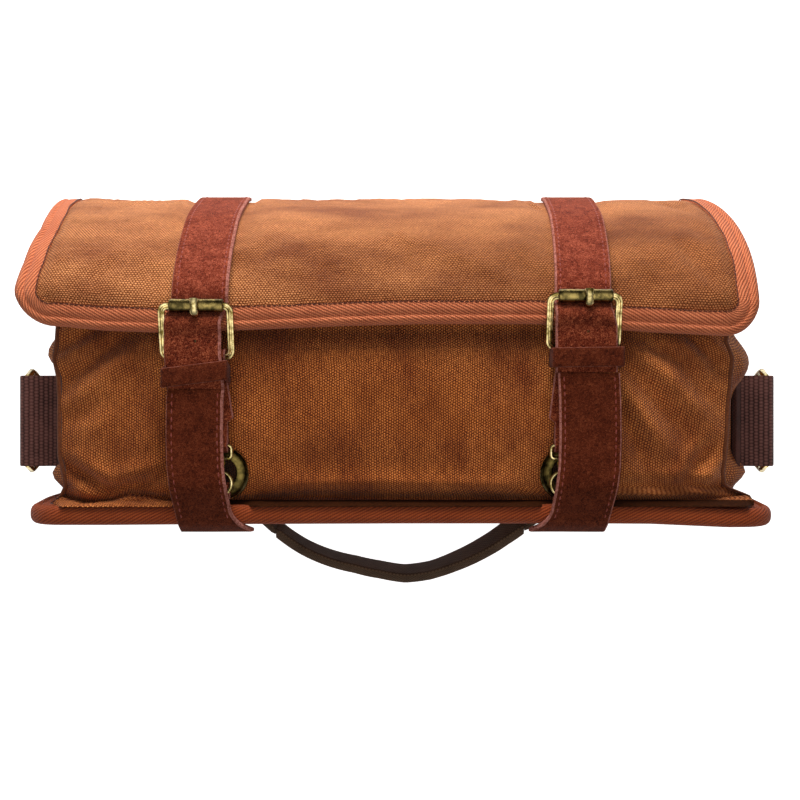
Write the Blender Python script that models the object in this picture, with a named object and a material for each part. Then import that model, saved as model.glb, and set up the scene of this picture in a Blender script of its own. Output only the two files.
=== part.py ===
"""Bar tool roll: a padded canvas roll with a bound flap, two buckled suede straps and a carrying handle.

The roll lies on its back. X runs along its length, Y runs from the handle side to the hinge side,
and Z rises from the back to the front. The origin is the centre of the flat back. Units are metres.
"""

import math

import bmesh
import bpy
from mathutils import Matrix, Vector

# Padded panel that wraps the roll
GAP = 0.0003
PANEL_HALF_WIDTH = 0.191
PANEL_THICKNESS = 0.010
CANVAS_THICKNESS = 0.0015
LINING_THICKNESS = 0.0015
PANEL_DEPTH = 0.1825
LOW_CORNER_RADIUS = 0.014
FLANGE_DROP = 0.005
HINGE_Z = 0.0185
FLAP_TOP = 0.130
FLAP_CURVE_REACH = 0.115
FLAP_EDGE_REACH = 0.100
FLAP_CURVE_POWER = 1.5
HINGE_SHIFT = -0.0125
FLAP_EDGE_SHIFT = -0.0059
FLAP_FLARE = 0.02
SHELL_SPLAY = 0.026
FLAP_CURVE_STEPS = 12
CORNER_STEPS = 4
WALL_STEPS = 3

# Twill tape that binds the panel's edges
TAPE_THICKNESS = 0.0013
TAPE_LEG = 0.0105
TAPE_SLACK = 0.0008
TAPE_CHAMFER = 0.0019
TAPE_PROUD = 0.0001
BOUND_CORNER_RADIUS = 0.018
RAMP_WIDTH = 0.006
CORNER_TURN_STEPS = 6
CORNER_BLEND = 0.040

# Canvas body under the flap
FRONT_THICKNESS = 0.0025
FRONT_UNDER_FLAP = 0.0025
FRONT_CREST_REACH = 0.057
FRONT_SEAM_DROP = 0.012
MOUTH_REACH = 0.131
MOUTH_DROP = 0.023
FRONT_LOW_POWER = 2.6
FRONT_HIGH_POWER = 3.0
FRONT_END_INSET = 0.010
FRONT_END_DROP = 0.009
FRONT_END_POWER = 8
FRONT_ROWS = 12
FRONT_COLUMN_SHARES = (1.0, 0.975, 0.94, 0.88, 0.74, 0.45)
GUSSET_THICKNESS = 0.002
GUSSET_BULGE = 0.0022
GUSSET_COLUMNS = 9
GUSSET_ROWS = 6
SEAM_TAPE_THICKNESS = 0.0028
SEAM_TAPE_HEIGHT = 0.0075
MOUTH_TAPE_LENGTH = 0.004

# Tool pockets and elastic loops on the back
POCKET_COUNT = 4
POCKET_WIDTH = 0.080
POCKET_LENGTH = 0.072
POCKET_CLOSED_LENGTH = 0.008
POCKET_RISE = 0.0105
POCKET_SEAM = 0.004
POCKET_REACH = 0.031
POCKET_THICKNESS = 0.0012
LOOP_COUNT = 5
LOOP_PITCH = 0.064
LOOP_SPAN = 0.032
LOOP_RISE = 0.0135
LOOP_WIDTH = 0.025
LOOP_REACH = 0.123
LOOP_THICKNESS = 0.0013
ARCH_STEPS = 6
ARCH_POWER = 0.7

# Carrying handle
HANDLE_Z = 0.060
HANDLE_WIDTH = 0.024
HANDLE_THICKNESS = 0.005
HANDLE_STANDOFF = 0.0095
HANDLE_HALF_SPAN = 0.069
HANDLE_SAG = 0.026
HANDLE_STEPS = 16
HANDLE_PAD_LENGTH = 0.030
HANDLE_PAD_THICKNESS = 0.003

# End tabs and their rings
TAB_MIDDLE_REACH = 0.0515
TAB_Z = 0.075
TAB_WIDTH = 0.050
TAB_REACH = {"left": 0.022, "right": 0.020}
TAB_THICKNESS = 0.002
TAB_FOOT = 0.012
TAB_SEAT_GAP = {"left": 0.0008, "right": -0.0007}
D_RING_WIRE = 0.004
D_RING_DEPTH = 0.032
D_RING_STEPS = 12
D_RING_SIDES = 8
D_RING_WIDE_POWER = 0.75
D_RING_DEEP_POWER = 0.85

# Suede straps
STRAP_X = {"left": -0.1025, "right": 0.0935}
STRAP_TOP_X = {"left": -0.1021, "right": 0.0978}
STRAP_WIDTH = 0.029
STRAP_THICKNESS = 0.0028
STRAP_START = 0.006

# Roller buckle
ROLLER_REACH = {"left": 0.111, "right": 0.116}
KEEPER_BELOW_PIVOT = {"left": 0.0103, "right": 0.0069}
BAR_SPACING = 0.027
BUCKLE_TILT = math.radians(18)
BUCKLE_WIRE = 0.003
BUCKLE_HALF_WIDTH = 0.0175
BUCKLE_CORNER = 0.003
BUCKLE_SIDES = 8
ROLLER_RADIUS = 0.0035
ROLLER_BORE_RADIUS = 0.0019
ROLLER_SIDES = 20
MITRE_LIMIT = 0.5
PRONG_WIRE = 0.0024
PRONG_EYE_RADIUS = 0.0031
PRONG_PLAY = 0.0013
PRONG_OVERHANG = 0.002
PRONG_SIDES = 6
PRONG_CREST_SHARE = 0.8
PRONG_HOLE_WIDTH = 0.0044
PRONG_HOLE_LENGTH = 0.0125
STRAP_RISEN_SHARE = 0.45

# Keeper and hanging strap end
KEEPER_LENGTH = 0.010
KEEPER_WALL = 0.0018
KEEPER_SLACK = 0.0004
TAIL_HINGE_STEP = 0.0015
TAIL_TIP = 0.0065
TAIL_WRAP_START = math.radians(120)
TAIL_WRAP_END = math.radians(150)
TAIL_WRAP_STEPS = 3
TAIL_DROP_REACH = 0.019
TAIL_DRIFT = 0.004

# Hanger strap behind the hanging end
HANGER_TOP_INWARD = 0.0028
HANGER_LOW_INWARD = 0.007
HANGER_WIDTH = 0.020
HANGER_THICKNESS = 0.0022
HANGER_LAYER_GAP = 0.0004
HANGER_RETURN = 0.014
HANGER_TONGUE_WIDTH = 0.008
HANGER_TONGUE_LENGTH = 0.012
FOLD_STEPS = 6

# Swivel snap hook
HOOK_INWARD = 0.010
HOOK_Z_BELOW_FLAP = 0.0018
EYE_BAR_REACH = 0.0395
EYE_WIRE = 0.0022
EYE_HALF_WIDTH = 0.0056
EYE_LENGTH = 0.0066
EYE_CORNER = 0.0013
COLLAR_RADIUS = 0.0025
COLLAR_BORE_RADIUS = 0.0014
COLLAR_LENGTH = 0.0056
COLLAR_SEAT_SHARE = 0.4
SHANK_RADIUS = 0.0011
SHANK_HEAD_RADIUS = 0.0019
SHANK_HEAD_LENGTH = 0.0009
HOOK_RADIUS = 0.0068
HOOK_WIRE = 0.0022
HOOK_SIDES = 6
HOOK_OPENING_START = math.radians(-20)
HOOK_OPENING_END = math.radians(62)
HOOK_STEPS = 14
GATE_WIDTH = 0.0018
GATE_THICKNESS = 0.0010

# Anchor ring that the hook clips to
RING_X = {"left": -0.0934, "right": 0.0875}
RING_RADIUS = 0.0145
RING_BORE_RADIUS = 0.0085
RING_THICKNESS = 0.0014
RING_DISH = 0.0005
RING_REACH = 0.025
RING_TILT = math.radians(12)
RING_STEPS = 24
RING_TAB_WIDTH = 0.010
RING_TAB_THICKNESS = 0.0010
RING_LIFT = 0.0015

# Sizes worked out from those above
FLAT_HALF = (PANEL_DEPTH - LOW_CORNER_RADIUS - HINGE_Z) / 2
HANDLE_FACE_Y = -FLAT_HALF - LOW_CORNER_RADIUS
HINGE_Y = FLAT_HALF + HINGE_Z
FLAP_CURVE_Y = HANDLE_FACE_Y + FLAP_CURVE_REACH
FLAP_EDGE_Y = HANDLE_FACE_Y + FLAP_EDGE_REACH
FRONT_CREST_Y = HANDLE_FACE_Y + FRONT_CREST_REACH
MOUTH_Y = HANDLE_FACE_Y + MOUTH_REACH
FRONT_HALF_WIDTH = PANEL_HALF_WIDTH - FRONT_END_INSET
POCKET_Y = HANDLE_FACE_Y + POCKET_REACH
LOOP_Y = HANDLE_FACE_Y + LOOP_REACH
TAB_Y = HANDLE_FACE_Y + TAB_MIDDLE_REACH
ROLLER_Y = {side: HANDLE_FACE_Y + reach for side, reach in ROLLER_REACH.items()}
EYE_BAR_Y = HANDLE_FACE_Y + EYE_BAR_REACH
RING_Y = HANDLE_FACE_Y + RING_REACH
TAIL_DROP_Y = HANDLE_FACE_Y + TAIL_DROP_REACH
FLANGE_TOP = FLAP_TOP - FLANGE_DROP
CANVAS_HALF_WIDTH = PANEL_HALF_WIDTH - TAPE_THICKNESS - GAP
TAPE_HALF_THICKNESS = PANEL_THICKNESS / 2 - TAPE_PROUD / 2
CANVAS_EDGE_DEPTH = PANEL_THICKNESS / 2 - TAPE_HALF_THICKNESS + TAPE_THICKNESS + TAPE_SLACK
FOAM_DEPTH = CANVAS_THICKNESS + GAP
FOAM_THICKNESS = PANEL_THICKNESS - CANVAS_THICKNESS - LINING_THICKNESS - 2 * GAP
EDGE_BAND = TAPE_LEG + TAPE_THICKNESS + GAP
RAMP_END = EDGE_BAND + RAMP_WIDTH
INNER_Z = PANEL_THICKNESS
INNER_WALL_Y = HANDLE_FACE_Y + PANEL_THICKNESS
FRONT_TOP = FLAP_TOP - PANEL_THICKNESS + FRONT_UNDER_FLAP
STRAP_MIDDLE_Z = FLAP_TOP + GAP + STRAP_THICKNESS / 2
ROLLER_Z = FLAP_TOP + STRAP_THICKNESS + 2 * GAP + ROLLER_RADIUS
PIVOT_DROP = BAR_SPACING * math.sin(BUCKLE_TILT)
PIVOT_BACK = BAR_SPACING * math.cos(BUCKLE_TILT)
PIVOT_Z = ROLLER_Z - PIVOT_DROP
FOLD_INNER_RADIUS = BUCKLE_WIRE / 2 + GAP
FOLD_OUTER_RADIUS = FOLD_INNER_RADIUS + HANGER_THICKNESS
HOOK_Z = FLAP_TOP - HOOK_Z_BELOW_FLAP
TAIL_Z = HOOK_Z + HOOK_RADIUS + 2 * GAP + STRAP_THICKNESS / 2
TAIL_TOP_Z = TAIL_Z + STRAP_THICKNESS / 2
HANDLE_PIVOT_Y = HANDLE_FACE_Y - HANDLE_STANDOFF
GUSSET_X = FRONT_HALF_WIDTH + GUSSET_BULGE
TAB_INNER_X = {side: GUSSET_X + gap for side, gap in TAB_SEAT_GAP.items()}
D_RING_X = {side: TAB_INNER_X[side] + reach for side, reach in TAB_REACH.items()}
D_RING_HALF = TAB_WIDTH / 2 + 2 * GAP + D_RING_WIRE / 2
SIDES = {"left": -1, "right": 1}

PIVOTS = {}


def finish(name, colour, roughness, metallic):
    """Return a Principled material with one colour."""
    made = bpy.data.materials.new(name)
    made.use_nodes = True
    shader = made.node_tree.nodes["Principled BSDF"]
    shader.inputs["Base Color"].default_value = (*colour, 1.0)
    shader.inputs["Roughness"].default_value = roughness
    shader.inputs["Metallic"].default_value = metallic
    made.diffuse_color = (*colour, 1.0)
    return made


def add_pivot(name, place, parent=None):
    """Add an empty on a joint's axis. The pieces of the moving body are its children."""
    empty = bpy.data.objects.new(name + "_axis", None)
    bpy.context.scene.collection.objects.link(empty)
    empty.location = place
    if parent:
        empty.parent = PIVOTS[parent]
        empty.matrix_parent_inverse = Matrix.Translation(-world_place(parent))
    PIVOTS[name] = empty
    empty["place"] = tuple(place)
    return empty


def world_place(pivot):
    """Return where a pivot stands in the world."""
    return Vector(PIVOTS[pivot]["place"])


def add_solid(name, points, faces, material, pivot=None, smooth=False):
    """Make a mesh object with its faces turned outwards, as a child of its pivot."""
    mesh = bpy.data.meshes.new(name)
    mesh.from_pydata([tuple(point) for point in points], [], faces)
    work = bmesh.new()
    work.from_mesh(mesh)
    bmesh.ops.recalc_face_normals(work, faces=work.faces)
    work.to_mesh(mesh)
    work.free()
    mesh.materials.append(material)
    if smooth:
        mesh.shade_smooth()
        mesh.set_sharp_from_angle(angle=math.radians(40))
    made = bpy.data.objects.new(name, mesh)
    bpy.context.scene.collection.objects.link(made)
    if pivot:
        made.parent = PIVOTS[pivot]
        made.matrix_parent_inverse = Matrix.Translation(-world_place(pivot))
    return made


def join_rings(rings, closed):
    """Return points and faces of the skin over a row of point rings."""
    count = len(rings[0])
    points = [point for ring in rings for point in ring]
    faces = []
    last = len(rings) if closed else len(rings) - 1
    for row in range(last):
        low = row * count
        high = (row + 1) % len(rings) * count
        for step in range(count):
            after = (step + 1) % count
            faces.append((low + step, low + after, high + after, high + step))
    if not closed:
        faces.append(tuple(range(count)))
        start = (len(rings) - 1) * count
        faces.append(tuple(range(start, start + count)))
    return points, faces


def join_grids(outer, inner):
    """Return points and faces of the sheet between two grids of points."""
    rows, columns = len(outer), len(outer[0])
    points = [point for grid in (outer, inner) for row in grid for point in row]
    shift = rows * columns
    faces = []
    for row in range(rows - 1):
        for column in range(columns - 1):
            corner = row * columns + column
            patch = (corner, corner + 1, corner + columns + 1, corner + columns)
            faces.append(patch)
            faces.append(tuple(patch[-step] + shift for step in range(4)))
    rim = [column for column in range(columns)]
    rim += [row * columns + columns - 1 for row in range(1, rows)]
    rim += [(rows - 1) * columns + column for column in range(columns - 2, -1, -1)]
    rim += [row * columns for row in range(rows - 2, 0, -1)]
    for step, index in enumerate(rim):
        after = rim[(step + 1) % len(rim)]
        faces.append((index, after, after + shift, index + shift))
    return points, faces


def arc(centre, radius, start, end, steps):
    """Return points on an arc, as (first, second) coordinate pairs."""
    turns = [start + (end - start) * step / steps for step in range(steps + 1)]
    return [(centre[0] + radius * math.cos(a), centre[1] + radius * math.sin(a)) for a in turns]


def side_pairs(path, thickness):
    """Return the two edge points at each point of a flat path, half a thickness to each side."""
    pairs = []
    for index, here in enumerate(path):
        before = path[max(index - 1, 0)]
        after = path[min(index + 1, len(path) - 1)]
        along = Vector((after[0] - before[0], after[1] - before[1])).normalized()
        across = Vector((-along.y, along.x)) * thickness / 2
        spread = 1.0
        if 0 < index < len(path) - 1:
            step = Vector((after[0] - here[0], after[1] - here[1])).normalized()
            spread = 1 / max(abs(step.dot(along)), MITRE_LIMIT)
        across = across * spread
        pairs.append((Vector(here) + across, Vector(here) - across))
    return pairs


def band(name, pairs, spans, place, material, pivot=None):
    """Make a flat strip. Pairs lie in the strip's side view, spans give its width at each pair."""
    rings = []
    for (first, second), (low, high) in zip(pairs, spans):
        rings.append([place(first, low), place(second, low), place(second, high), place(first, high)])
    points, faces = join_rings(rings, False)
    return add_solid(name, points, faces, material, pivot)


def across_x(point, width):
    """Place a side view point of a strip that runs in Y and Z and is wide along X."""
    return Vector((width, point[0], point[1]))


def across_y(point, width):
    """Place a side view point of a strip that runs in X and Z and is wide along Y."""
    return Vector((point[0], width, point[1]))


def across_z(point, width):
    """Place a side view point of a strip that runs in X and Y and is wide along Z."""
    return Vector((point[0], point[1], width))


def tube_mesh(points, radius, normal, sides, closed):
    """Return points and faces of a round wire along a flat path with the given plane normal."""
    normal = Vector(normal).normalized()
    count = len(points)
    rings = []
    for index, here in enumerate(points):
        if closed:
            before, after = points[index - 1], points[(index + 1) % count]
        else:
            before, after = points[max(index - 1, 0)], points[min(index + 1, count - 1)]
        along = (Vector(after) - Vector(before)).normalized()
        across = along.cross(normal)
        ring = []
        for side in range(sides):
            turn = 2 * math.pi * (side + 0.5) / sides
            ring.append(Vector(here) + radius * (math.cos(turn) * across + math.sin(turn) * normal))
        rings.append(ring)
    return join_rings(rings, closed)


def turned_mesh(centre, axis, across, outline, steps):
    """Return points and faces of a closed outline of (radius, height) turned about an axis."""
    axis, across = Vector(axis).normalized(), Vector(across).normalized()
    third = axis.cross(across)
    rings = []
    for step in range(steps):
        turn = 2 * math.pi * (step + 0.5) / steps
        out = math.cos(turn) * across + math.sin(turn) * third
        rings.append([Vector(centre) + out * radius + axis * height for radius, height in outline])
    return join_rings(rings, True)


def union(base, tools):
    """Join helper solids into the base with a Boolean and take the helpers away."""
    for tool in tools:
        joiner = base.modifiers.new("Join " + tool.name, "BOOLEAN")
        joiner.operation = "UNION"
        joiner.solver = "EXACT"
        joiner.object = tool
        hide_helper(tool)


def cut(base, tool):
    """Cut a helper solid out of the base."""
    cutter = base.modifiers.new("Cut " + tool.name, "BOOLEAN")
    cutter.operation = "DIFFERENCE"
    cutter.solver = "EXACT"
    cutter.object = tool
    hide_helper(tool)


def hide_helper(tool):
    """Keep a cutter or a joined helper out of the model."""
    tool.hide_render = True
    tool.display_type = "WIRE"


def add_box(name, low, high, material, pivot=None):
    """Make a box between two corners."""
    points = [
        Vector((x, y, z)) for z in (low[2], high[2]) for y in (low[1], high[1]) for x in (low[0], high[0])
    ]
    faces = [(0, 1, 3, 2), (4, 6, 7, 5), (0, 4, 5, 1), (2, 3, 7, 6), (0, 2, 6, 4), (1, 5, 7, 3)]
    return add_solid(name, points, faces, material, pivot)


class Profile:
    """The outer line of a panel in side view, from the hinge to its free edge."""

    def __init__(self, points, turn, edge_shift, flare, splay):
        self.points = [Vector(point) for point in points]
        self.turn = turn
        self.edge_shift = edge_shift
        self.flare = flare
        self.splay = splay
        self.marks = [0.0]
        for before, after in zip(self.points, self.points[1:]):
            self.marks.append(self.marks[-1] + (after - before).length)
        self.length = self.marks[-1]
        self.normals = []
        for index in range(len(self.points)):
            before = self.points[max(index - 1, 0)]
            after = self.points[min(index + 1, len(self.points) - 1)]
            along = (after - before).normalized()
            self.normals.append(Vector((along.y, -along.x)) * turn)
        self.normals[0] = Vector((1.0, 0.0))

    def at(self, mark):
        """Return the point, the outward normal and the direction at a distance from the hinge."""
        mark = min(max(mark, 0.0), self.length)
        index = 0
        while index < len(self.points) - 2 and mark > self.marks[index + 1]:
            index += 1
        share = (mark - self.marks[index]) / (self.marks[index + 1] - self.marks[index])
        place = self.points[index].lerp(self.points[index + 1], share)
        normal = self.normals[index].lerp(self.normals[index + 1], share).normalized()
        along = (self.points[index + 1] - self.points[index]).normalized()
        return place, normal, along

    def place(self, x, mark, depth):
        """Return the world point at a width, a distance from the hinge and a depth under the skin."""
        place, normal, _ = self.at(mark)
        inner = place - normal * depth
        share = mark / self.length
        wide = x * (1 + self.flare * math.sin(math.pi * min(share, 1.0)) + self.splay * share)
        shift = HINGE_SHIFT + (self.edge_shift - HINGE_SHIFT) * share
        return Vector((wide + shift, inner.x, inner.y))


def flap_profile():
    """Return the flap's outer line: a soft quadrant from the hinge, then a flat over the front."""
    points = []
    for step in range(FLAP_CURVE_STEPS + 1):
        turn = math.pi / 2 * step / FLAP_CURVE_STEPS
        reach = (HINGE_Y - FLAP_CURVE_Y) * max(math.cos(turn), 0.0) ** (2 / FLAP_CURVE_POWER)
        rise = (FLAP_TOP - HINGE_Z) * math.sin(turn) ** (2 / FLAP_CURVE_POWER)
        points.append((FLAP_CURVE_Y + reach, HINGE_Z + rise))
    points.append((FLAP_EDGE_Y, FLAP_TOP))
    return Profile(points, 1, FLAP_EDGE_SHIFT, FLAP_FLARE, 0)


def shell_profile():
    """Return the shell's outer line: under the hinge, along the back and up the handle side."""
    points = arc((HINGE_Y - HINGE_Z, HINGE_Z), HINGE_Z, 0.0, -math.pi / 2, CORNER_STEPS)
    low = (HANDLE_FACE_Y + LOW_CORNER_RADIUS, LOW_CORNER_RADIUS)
    points += arc(low, LOW_CORNER_RADIUS, -math.pi / 2, -math.pi, CORNER_STEPS)
    for step in range(1, WALL_STEPS + 1):
        rise = (FLANGE_TOP - LOW_CORNER_RADIUS) * step / WALL_STEPS
        points.append((HANDLE_FACE_Y, LOW_CORNER_RADIUS + rise))
    return Profile(points, -1, 0, 0, SHELL_SPLAY)


def corner_drop(x, half_width, radius):
    """Return how far a rounded corner draws the free edge back at a width."""
    into = abs(x) - (half_width - radius)
    if into <= 0:
        return 0.0
    return radius - math.sqrt(max(radius * radius - into * into, 0.0))


def panel_rows(profile):
    """Return the row marks of a panel: its own corners, then the bound edge's band."""
    stop = profile.length - RAMP_END
    rows = [GAP / 2] + [mark for mark in profile.marks[1:] if mark < stop - RAMP_WIDTH / 2]
    return rows + [stop, profile.length - EDGE_BAND, profile.length]


def add_canvas(name, profile, material, pivot=None):
    """Make a panel's outer canvas, drawn in where the tape holds its edges."""
    from_edge = [0.0, EDGE_BAND / 4, EDGE_BAND / 2, EDGE_BAND, RAMP_END]
    half = [CANVAS_HALF_WIDTH - step for step in from_edge] + [CANVAS_HALF_WIDTH / 2]
    columns = [-x for x in half] + [0.0] + list(reversed(half))
    radius = BOUND_CORNER_RADIUS - TAPE_THICKNESS - GAP
    edge_trim = TAPE_THICKNESS + GAP
    rows = panel_rows(profile)
    outer, inner = [], []
    for mark in rows:
        top_row, low_row = [], []
        for x in columns:
            start = profile.length - CORNER_BLEND
            end = profile.length - edge_trim - corner_drop(x, CANVAS_HALF_WIDTH, radius)
            at = mark
            if mark > start:
                at = start + (mark - start) * (end - start) / (profile.length - start)
            inside = CANVAS_HALF_WIDTH - abs(x) > EDGE_BAND + GAP and profile.length - mark > EDGE_BAND + GAP
            depth = 0.0 if inside else CANVAS_EDGE_DEPTH
            top_row.append(profile.place(x, at, depth))
            low_row.append(profile.place(x, at, depth + CANVAS_THICKNESS))
        outer.append(top_row)
        inner.append(low_row)
    points, faces = join_grids(outer, inner)
    return add_solid(name, points, faces, material, pivot, smooth=True)


def add_layer(name, profile, depth, thickness, inset, material, pivot=None):
    """Make a plain inner layer of a panel between two depths."""
    rings = []
    stop = profile.length - inset
    marks = [mark for mark in panel_rows(profile) if mark < stop - GAP] + [stop]
    half = PANEL_HALF_WIDTH - inset
    for mark in marks:
        ring = []
        far = depth + thickness
        for x, deep in ((-half, depth), (half, depth), (half, far), (-half, far)):
            ring.append(profile.place(x, mark, deep))
        rings.append(ring)
    points, faces = join_rings(rings, False)
    return add_solid(name, points, faces, material, pivot)


def edge_stations(profile):
    """Return places round a panel's bound edge: width, mark and the outward direction in the panel."""
    radius = BOUND_CORNER_RADIUS
    stop = profile.length - radius
    marks = [GAP / 2] + [mark for mark in profile.marks[1:] if mark < stop - RAMP_WIDTH / 2] + [stop]
    side = [(PANEL_HALF_WIDTH, mark, 1.0, 0.0) for mark in marks]
    corner = []
    for step in range(1, CORNER_TURN_STEPS + 1):
        turn = math.pi / 2 * step / CORNER_TURN_STEPS
        x = PANEL_HALF_WIDTH - radius + radius * math.cos(turn)
        corner.append((x, stop + radius * math.sin(turn), math.cos(turn), math.sin(turn)))
    right = side + corner
    left = [(-x, mark, -out, forward) for x, mark, out, forward in reversed(right)]
    return right + left


def add_tape(name, profile, material, pivot=None):
    """Make the twill tape that is folded round a panel's edge."""
    half = TAPE_HALF_THICKNESS
    slot = half - TAPE_THICKNESS
    leg = -(TAPE_LEG + TAPE_THICKNESS)
    section = [(leg, half), (-TAPE_CHAMFER, half), (0.0, half - TAPE_CHAMFER)]
    section += [(0.0, TAPE_CHAMFER - half), (-TAPE_CHAMFER, -half), (leg, -half)]
    section += [(leg, -slot), (-TAPE_THICKNESS, -slot), (-TAPE_THICKNESS, slot), (leg, slot)]
    rings = []
    for x, mark, out, forward in edge_stations(profile):
        ring = []
        for reach, rise in section:
            there = profile.place(x + out * reach, mark + forward * reach, PANEL_THICKNESS / 2 - rise)
            ring.append(there)
        rings.append(ring)
    points, faces = join_rings(rings, False)
    return add_solid(name, points, faces, material, pivot)


def front_height(y):
    """Return the front canvas's height along the middle of the roll."""
    if y < FRONT_CREST_Y:
        share = (FRONT_CREST_Y - y) / (FRONT_CREST_Y - INNER_WALL_Y)
        return FRONT_TOP - FRONT_SEAM_DROP * share**FRONT_LOW_POWER
    share = (y - FRONT_CREST_Y) / (MOUTH_Y - FRONT_CREST_Y)
    return FRONT_TOP - MOUTH_DROP * share**FRONT_HIGH_POWER


def front_end_height(x):
    """Return how far the front canvas sinks towards its ends."""
    return FRONT_END_DROP * abs(x / FRONT_HALF_WIDTH) ** FRONT_END_POWER


def front_rows():
    """Return the front canvas's row places from the handle side to the mouth."""
    start = INNER_WALL_Y + GAP
    rows = []
    for step in range(FRONT_ROWS + 1):
        share = (1 - math.cos(math.pi * step / FRONT_ROWS)) / 2
        rows.append(start + (MOUTH_Y - start) * share)
    return rows


def add_front(material, tape):
    """Make the front canvas, the tapes on its end seams and the tape on its mouth."""
    columns = [-share * FRONT_HALF_WIDTH for share in FRONT_COLUMN_SHARES] + [0.0]
    columns += [share * FRONT_HALF_WIDTH for share in reversed(FRONT_COLUMN_SHARES)]
    outer, inner = [], []
    for y in front_rows():
        top = [Vector((x, y, front_height(y) - front_end_height(x))) for x in columns]
        outer.append(top)
        inner.append([point - Vector((0, 0, FRONT_THICKNESS)) for point in top])
    points, faces = join_grids(outer, inner)
    add_solid("front_panel", points, faces, material, smooth=True)
    for side, sign in SIDES.items():
        rings = []
        for y in front_rows():
            high = front_height(y) - FRONT_END_DROP
            near = sign * (FRONT_HALF_WIDTH + GAP)
            far = near + sign * SEAM_TAPE_THICKNESS
            low = high - SEAM_TAPE_HEIGHT
            corners = ((near, low), (far, low), (far, high), (near, high))
            rings.append([Vector((x, y, z)) for x, z in corners])
        points, faces = join_rings(rings, False)
        add_solid(side + "_seam_tape", points, faces, tape)
    start = MOUTH_Y + GAP
    rings = []
    for x in columns:
        high = front_height(MOUTH_Y) - front_end_height(x)
        low = high - FRONT_THICKNESS
        stop = start + MOUTH_TAPE_LENGTH
        corners = ((start, low), (stop, low), (stop, high), (start, high))
        rings.append([Vector((x, y, z)) for y, z in corners])
    points, faces = join_rings(rings, False)
    add_solid("mouth_tape", points, faces, tape)


def foot_share(y):
    """Return how far towards the hinge a place on the back lies."""
    return (y - INNER_WALL_Y) / (HINGE_Y - INNER_WALL_Y)


def add_gusset(side, material):
    """Make the canvas end of the body between the back and the front canvas."""
    sign = SIDES[side]
    start = INNER_WALL_Y + GAP
    foot_end = HINGE_Y - HINGE_Z
    outer, inner = [], []
    for row in range(GUSSET_ROWS + 1):
        up = row / GUSSET_ROWS
        out_row, in_row = [], []
        for column in range(GUSSET_COLUMNS + 1):
            along = column / GUSSET_COLUMNS
            foot_z = LOW_CORNER_RADIUS if column == 0 else INNER_Z + GAP
            foot = Vector((start + (foot_end - start) * along, foot_z))
            head_y = start + (MOUTH_Y - start) * along
            head = Vector((head_y, front_height(head_y) - FRONT_END_DROP - FRONT_THICKNESS - 2 * GAP))
            here = foot.lerp(head, up)
            swell = GUSSET_BULGE * math.sin(math.pi * along) * math.sin(math.pi * up) ** 2
            x = FRONT_HALF_WIDTH - GAP + swell
            shift = HINGE_SHIFT * (1 - up) ** 3 * foot_share(foot.x)
            out_row.append(Vector((sign * x + shift, here.x, here.y)))
            in_row.append(Vector((sign * (x - GUSSET_THICKNESS) + shift, here.x, here.y)))
        outer.append(out_row)
        inner.append(in_row)
    points, faces = join_grids(outer, inner)
    add_solid(side + "_gusset", points, faces, material, smooth=True)


def arch_columns(count, pitch, span, rise):
    """Return (x, height) places of a sheet that is sewn down between arches."""
    places = []
    for index in range(count):
        middle = (index - (count - 1) / 2) * pitch
        for step in range(ARCH_STEPS + 1):
            share = step / ARCH_STEPS
            high = rise * math.sin(math.pi * share) ** ARCH_POWER
            places.append((middle - span / 2 + span * share, high))
    flat = (pitch - span) / 2
    start, end = places[0][0] - flat, places[-1][0] + flat
    return [(start, 0.0), *places, (end, 0.0)]


def add_pockets(material, elastic):
    """Make the row of tool pockets and the row of elastic loops on the back lining."""
    floor = INNER_Z + GAP
    span = POCKET_WIDTH - POCKET_SEAM
    columns = arch_columns(POCKET_COUNT, POCKET_WIDTH, span, POCKET_RISE)
    rows = [(0.0, 0.0), (POCKET_CLOSED_LENGTH, 1.0), (POCKET_LENGTH, 1.0)]
    outer, inner = [], []
    for along, share in rows:
        low = [Vector((x, POCKET_Y + along, floor + height * share)) for x, height in columns]
        inner.append(low)
        outer.append([point + Vector((0, 0, POCKET_THICKNESS)) for point in low])
    points, faces = join_grids(outer, inner)
    add_solid("tool_pockets", points, faces, material)
    columns = arch_columns(LOOP_COUNT, LOOP_PITCH, LOOP_SPAN, LOOP_RISE)
    outer, inner = [], []
    for along in (0.0, LOOP_WIDTH):
        low = [Vector((x, LOOP_Y + along, floor + height)) for x, height in columns]
        inner.append(low)
        outer.append([point + Vector((0, 0, LOOP_THICKNESS)) for point in low])
    points, faces = join_grids(outer, inner)
    add_solid("elastic_loops", points, faces, elastic)


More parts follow.
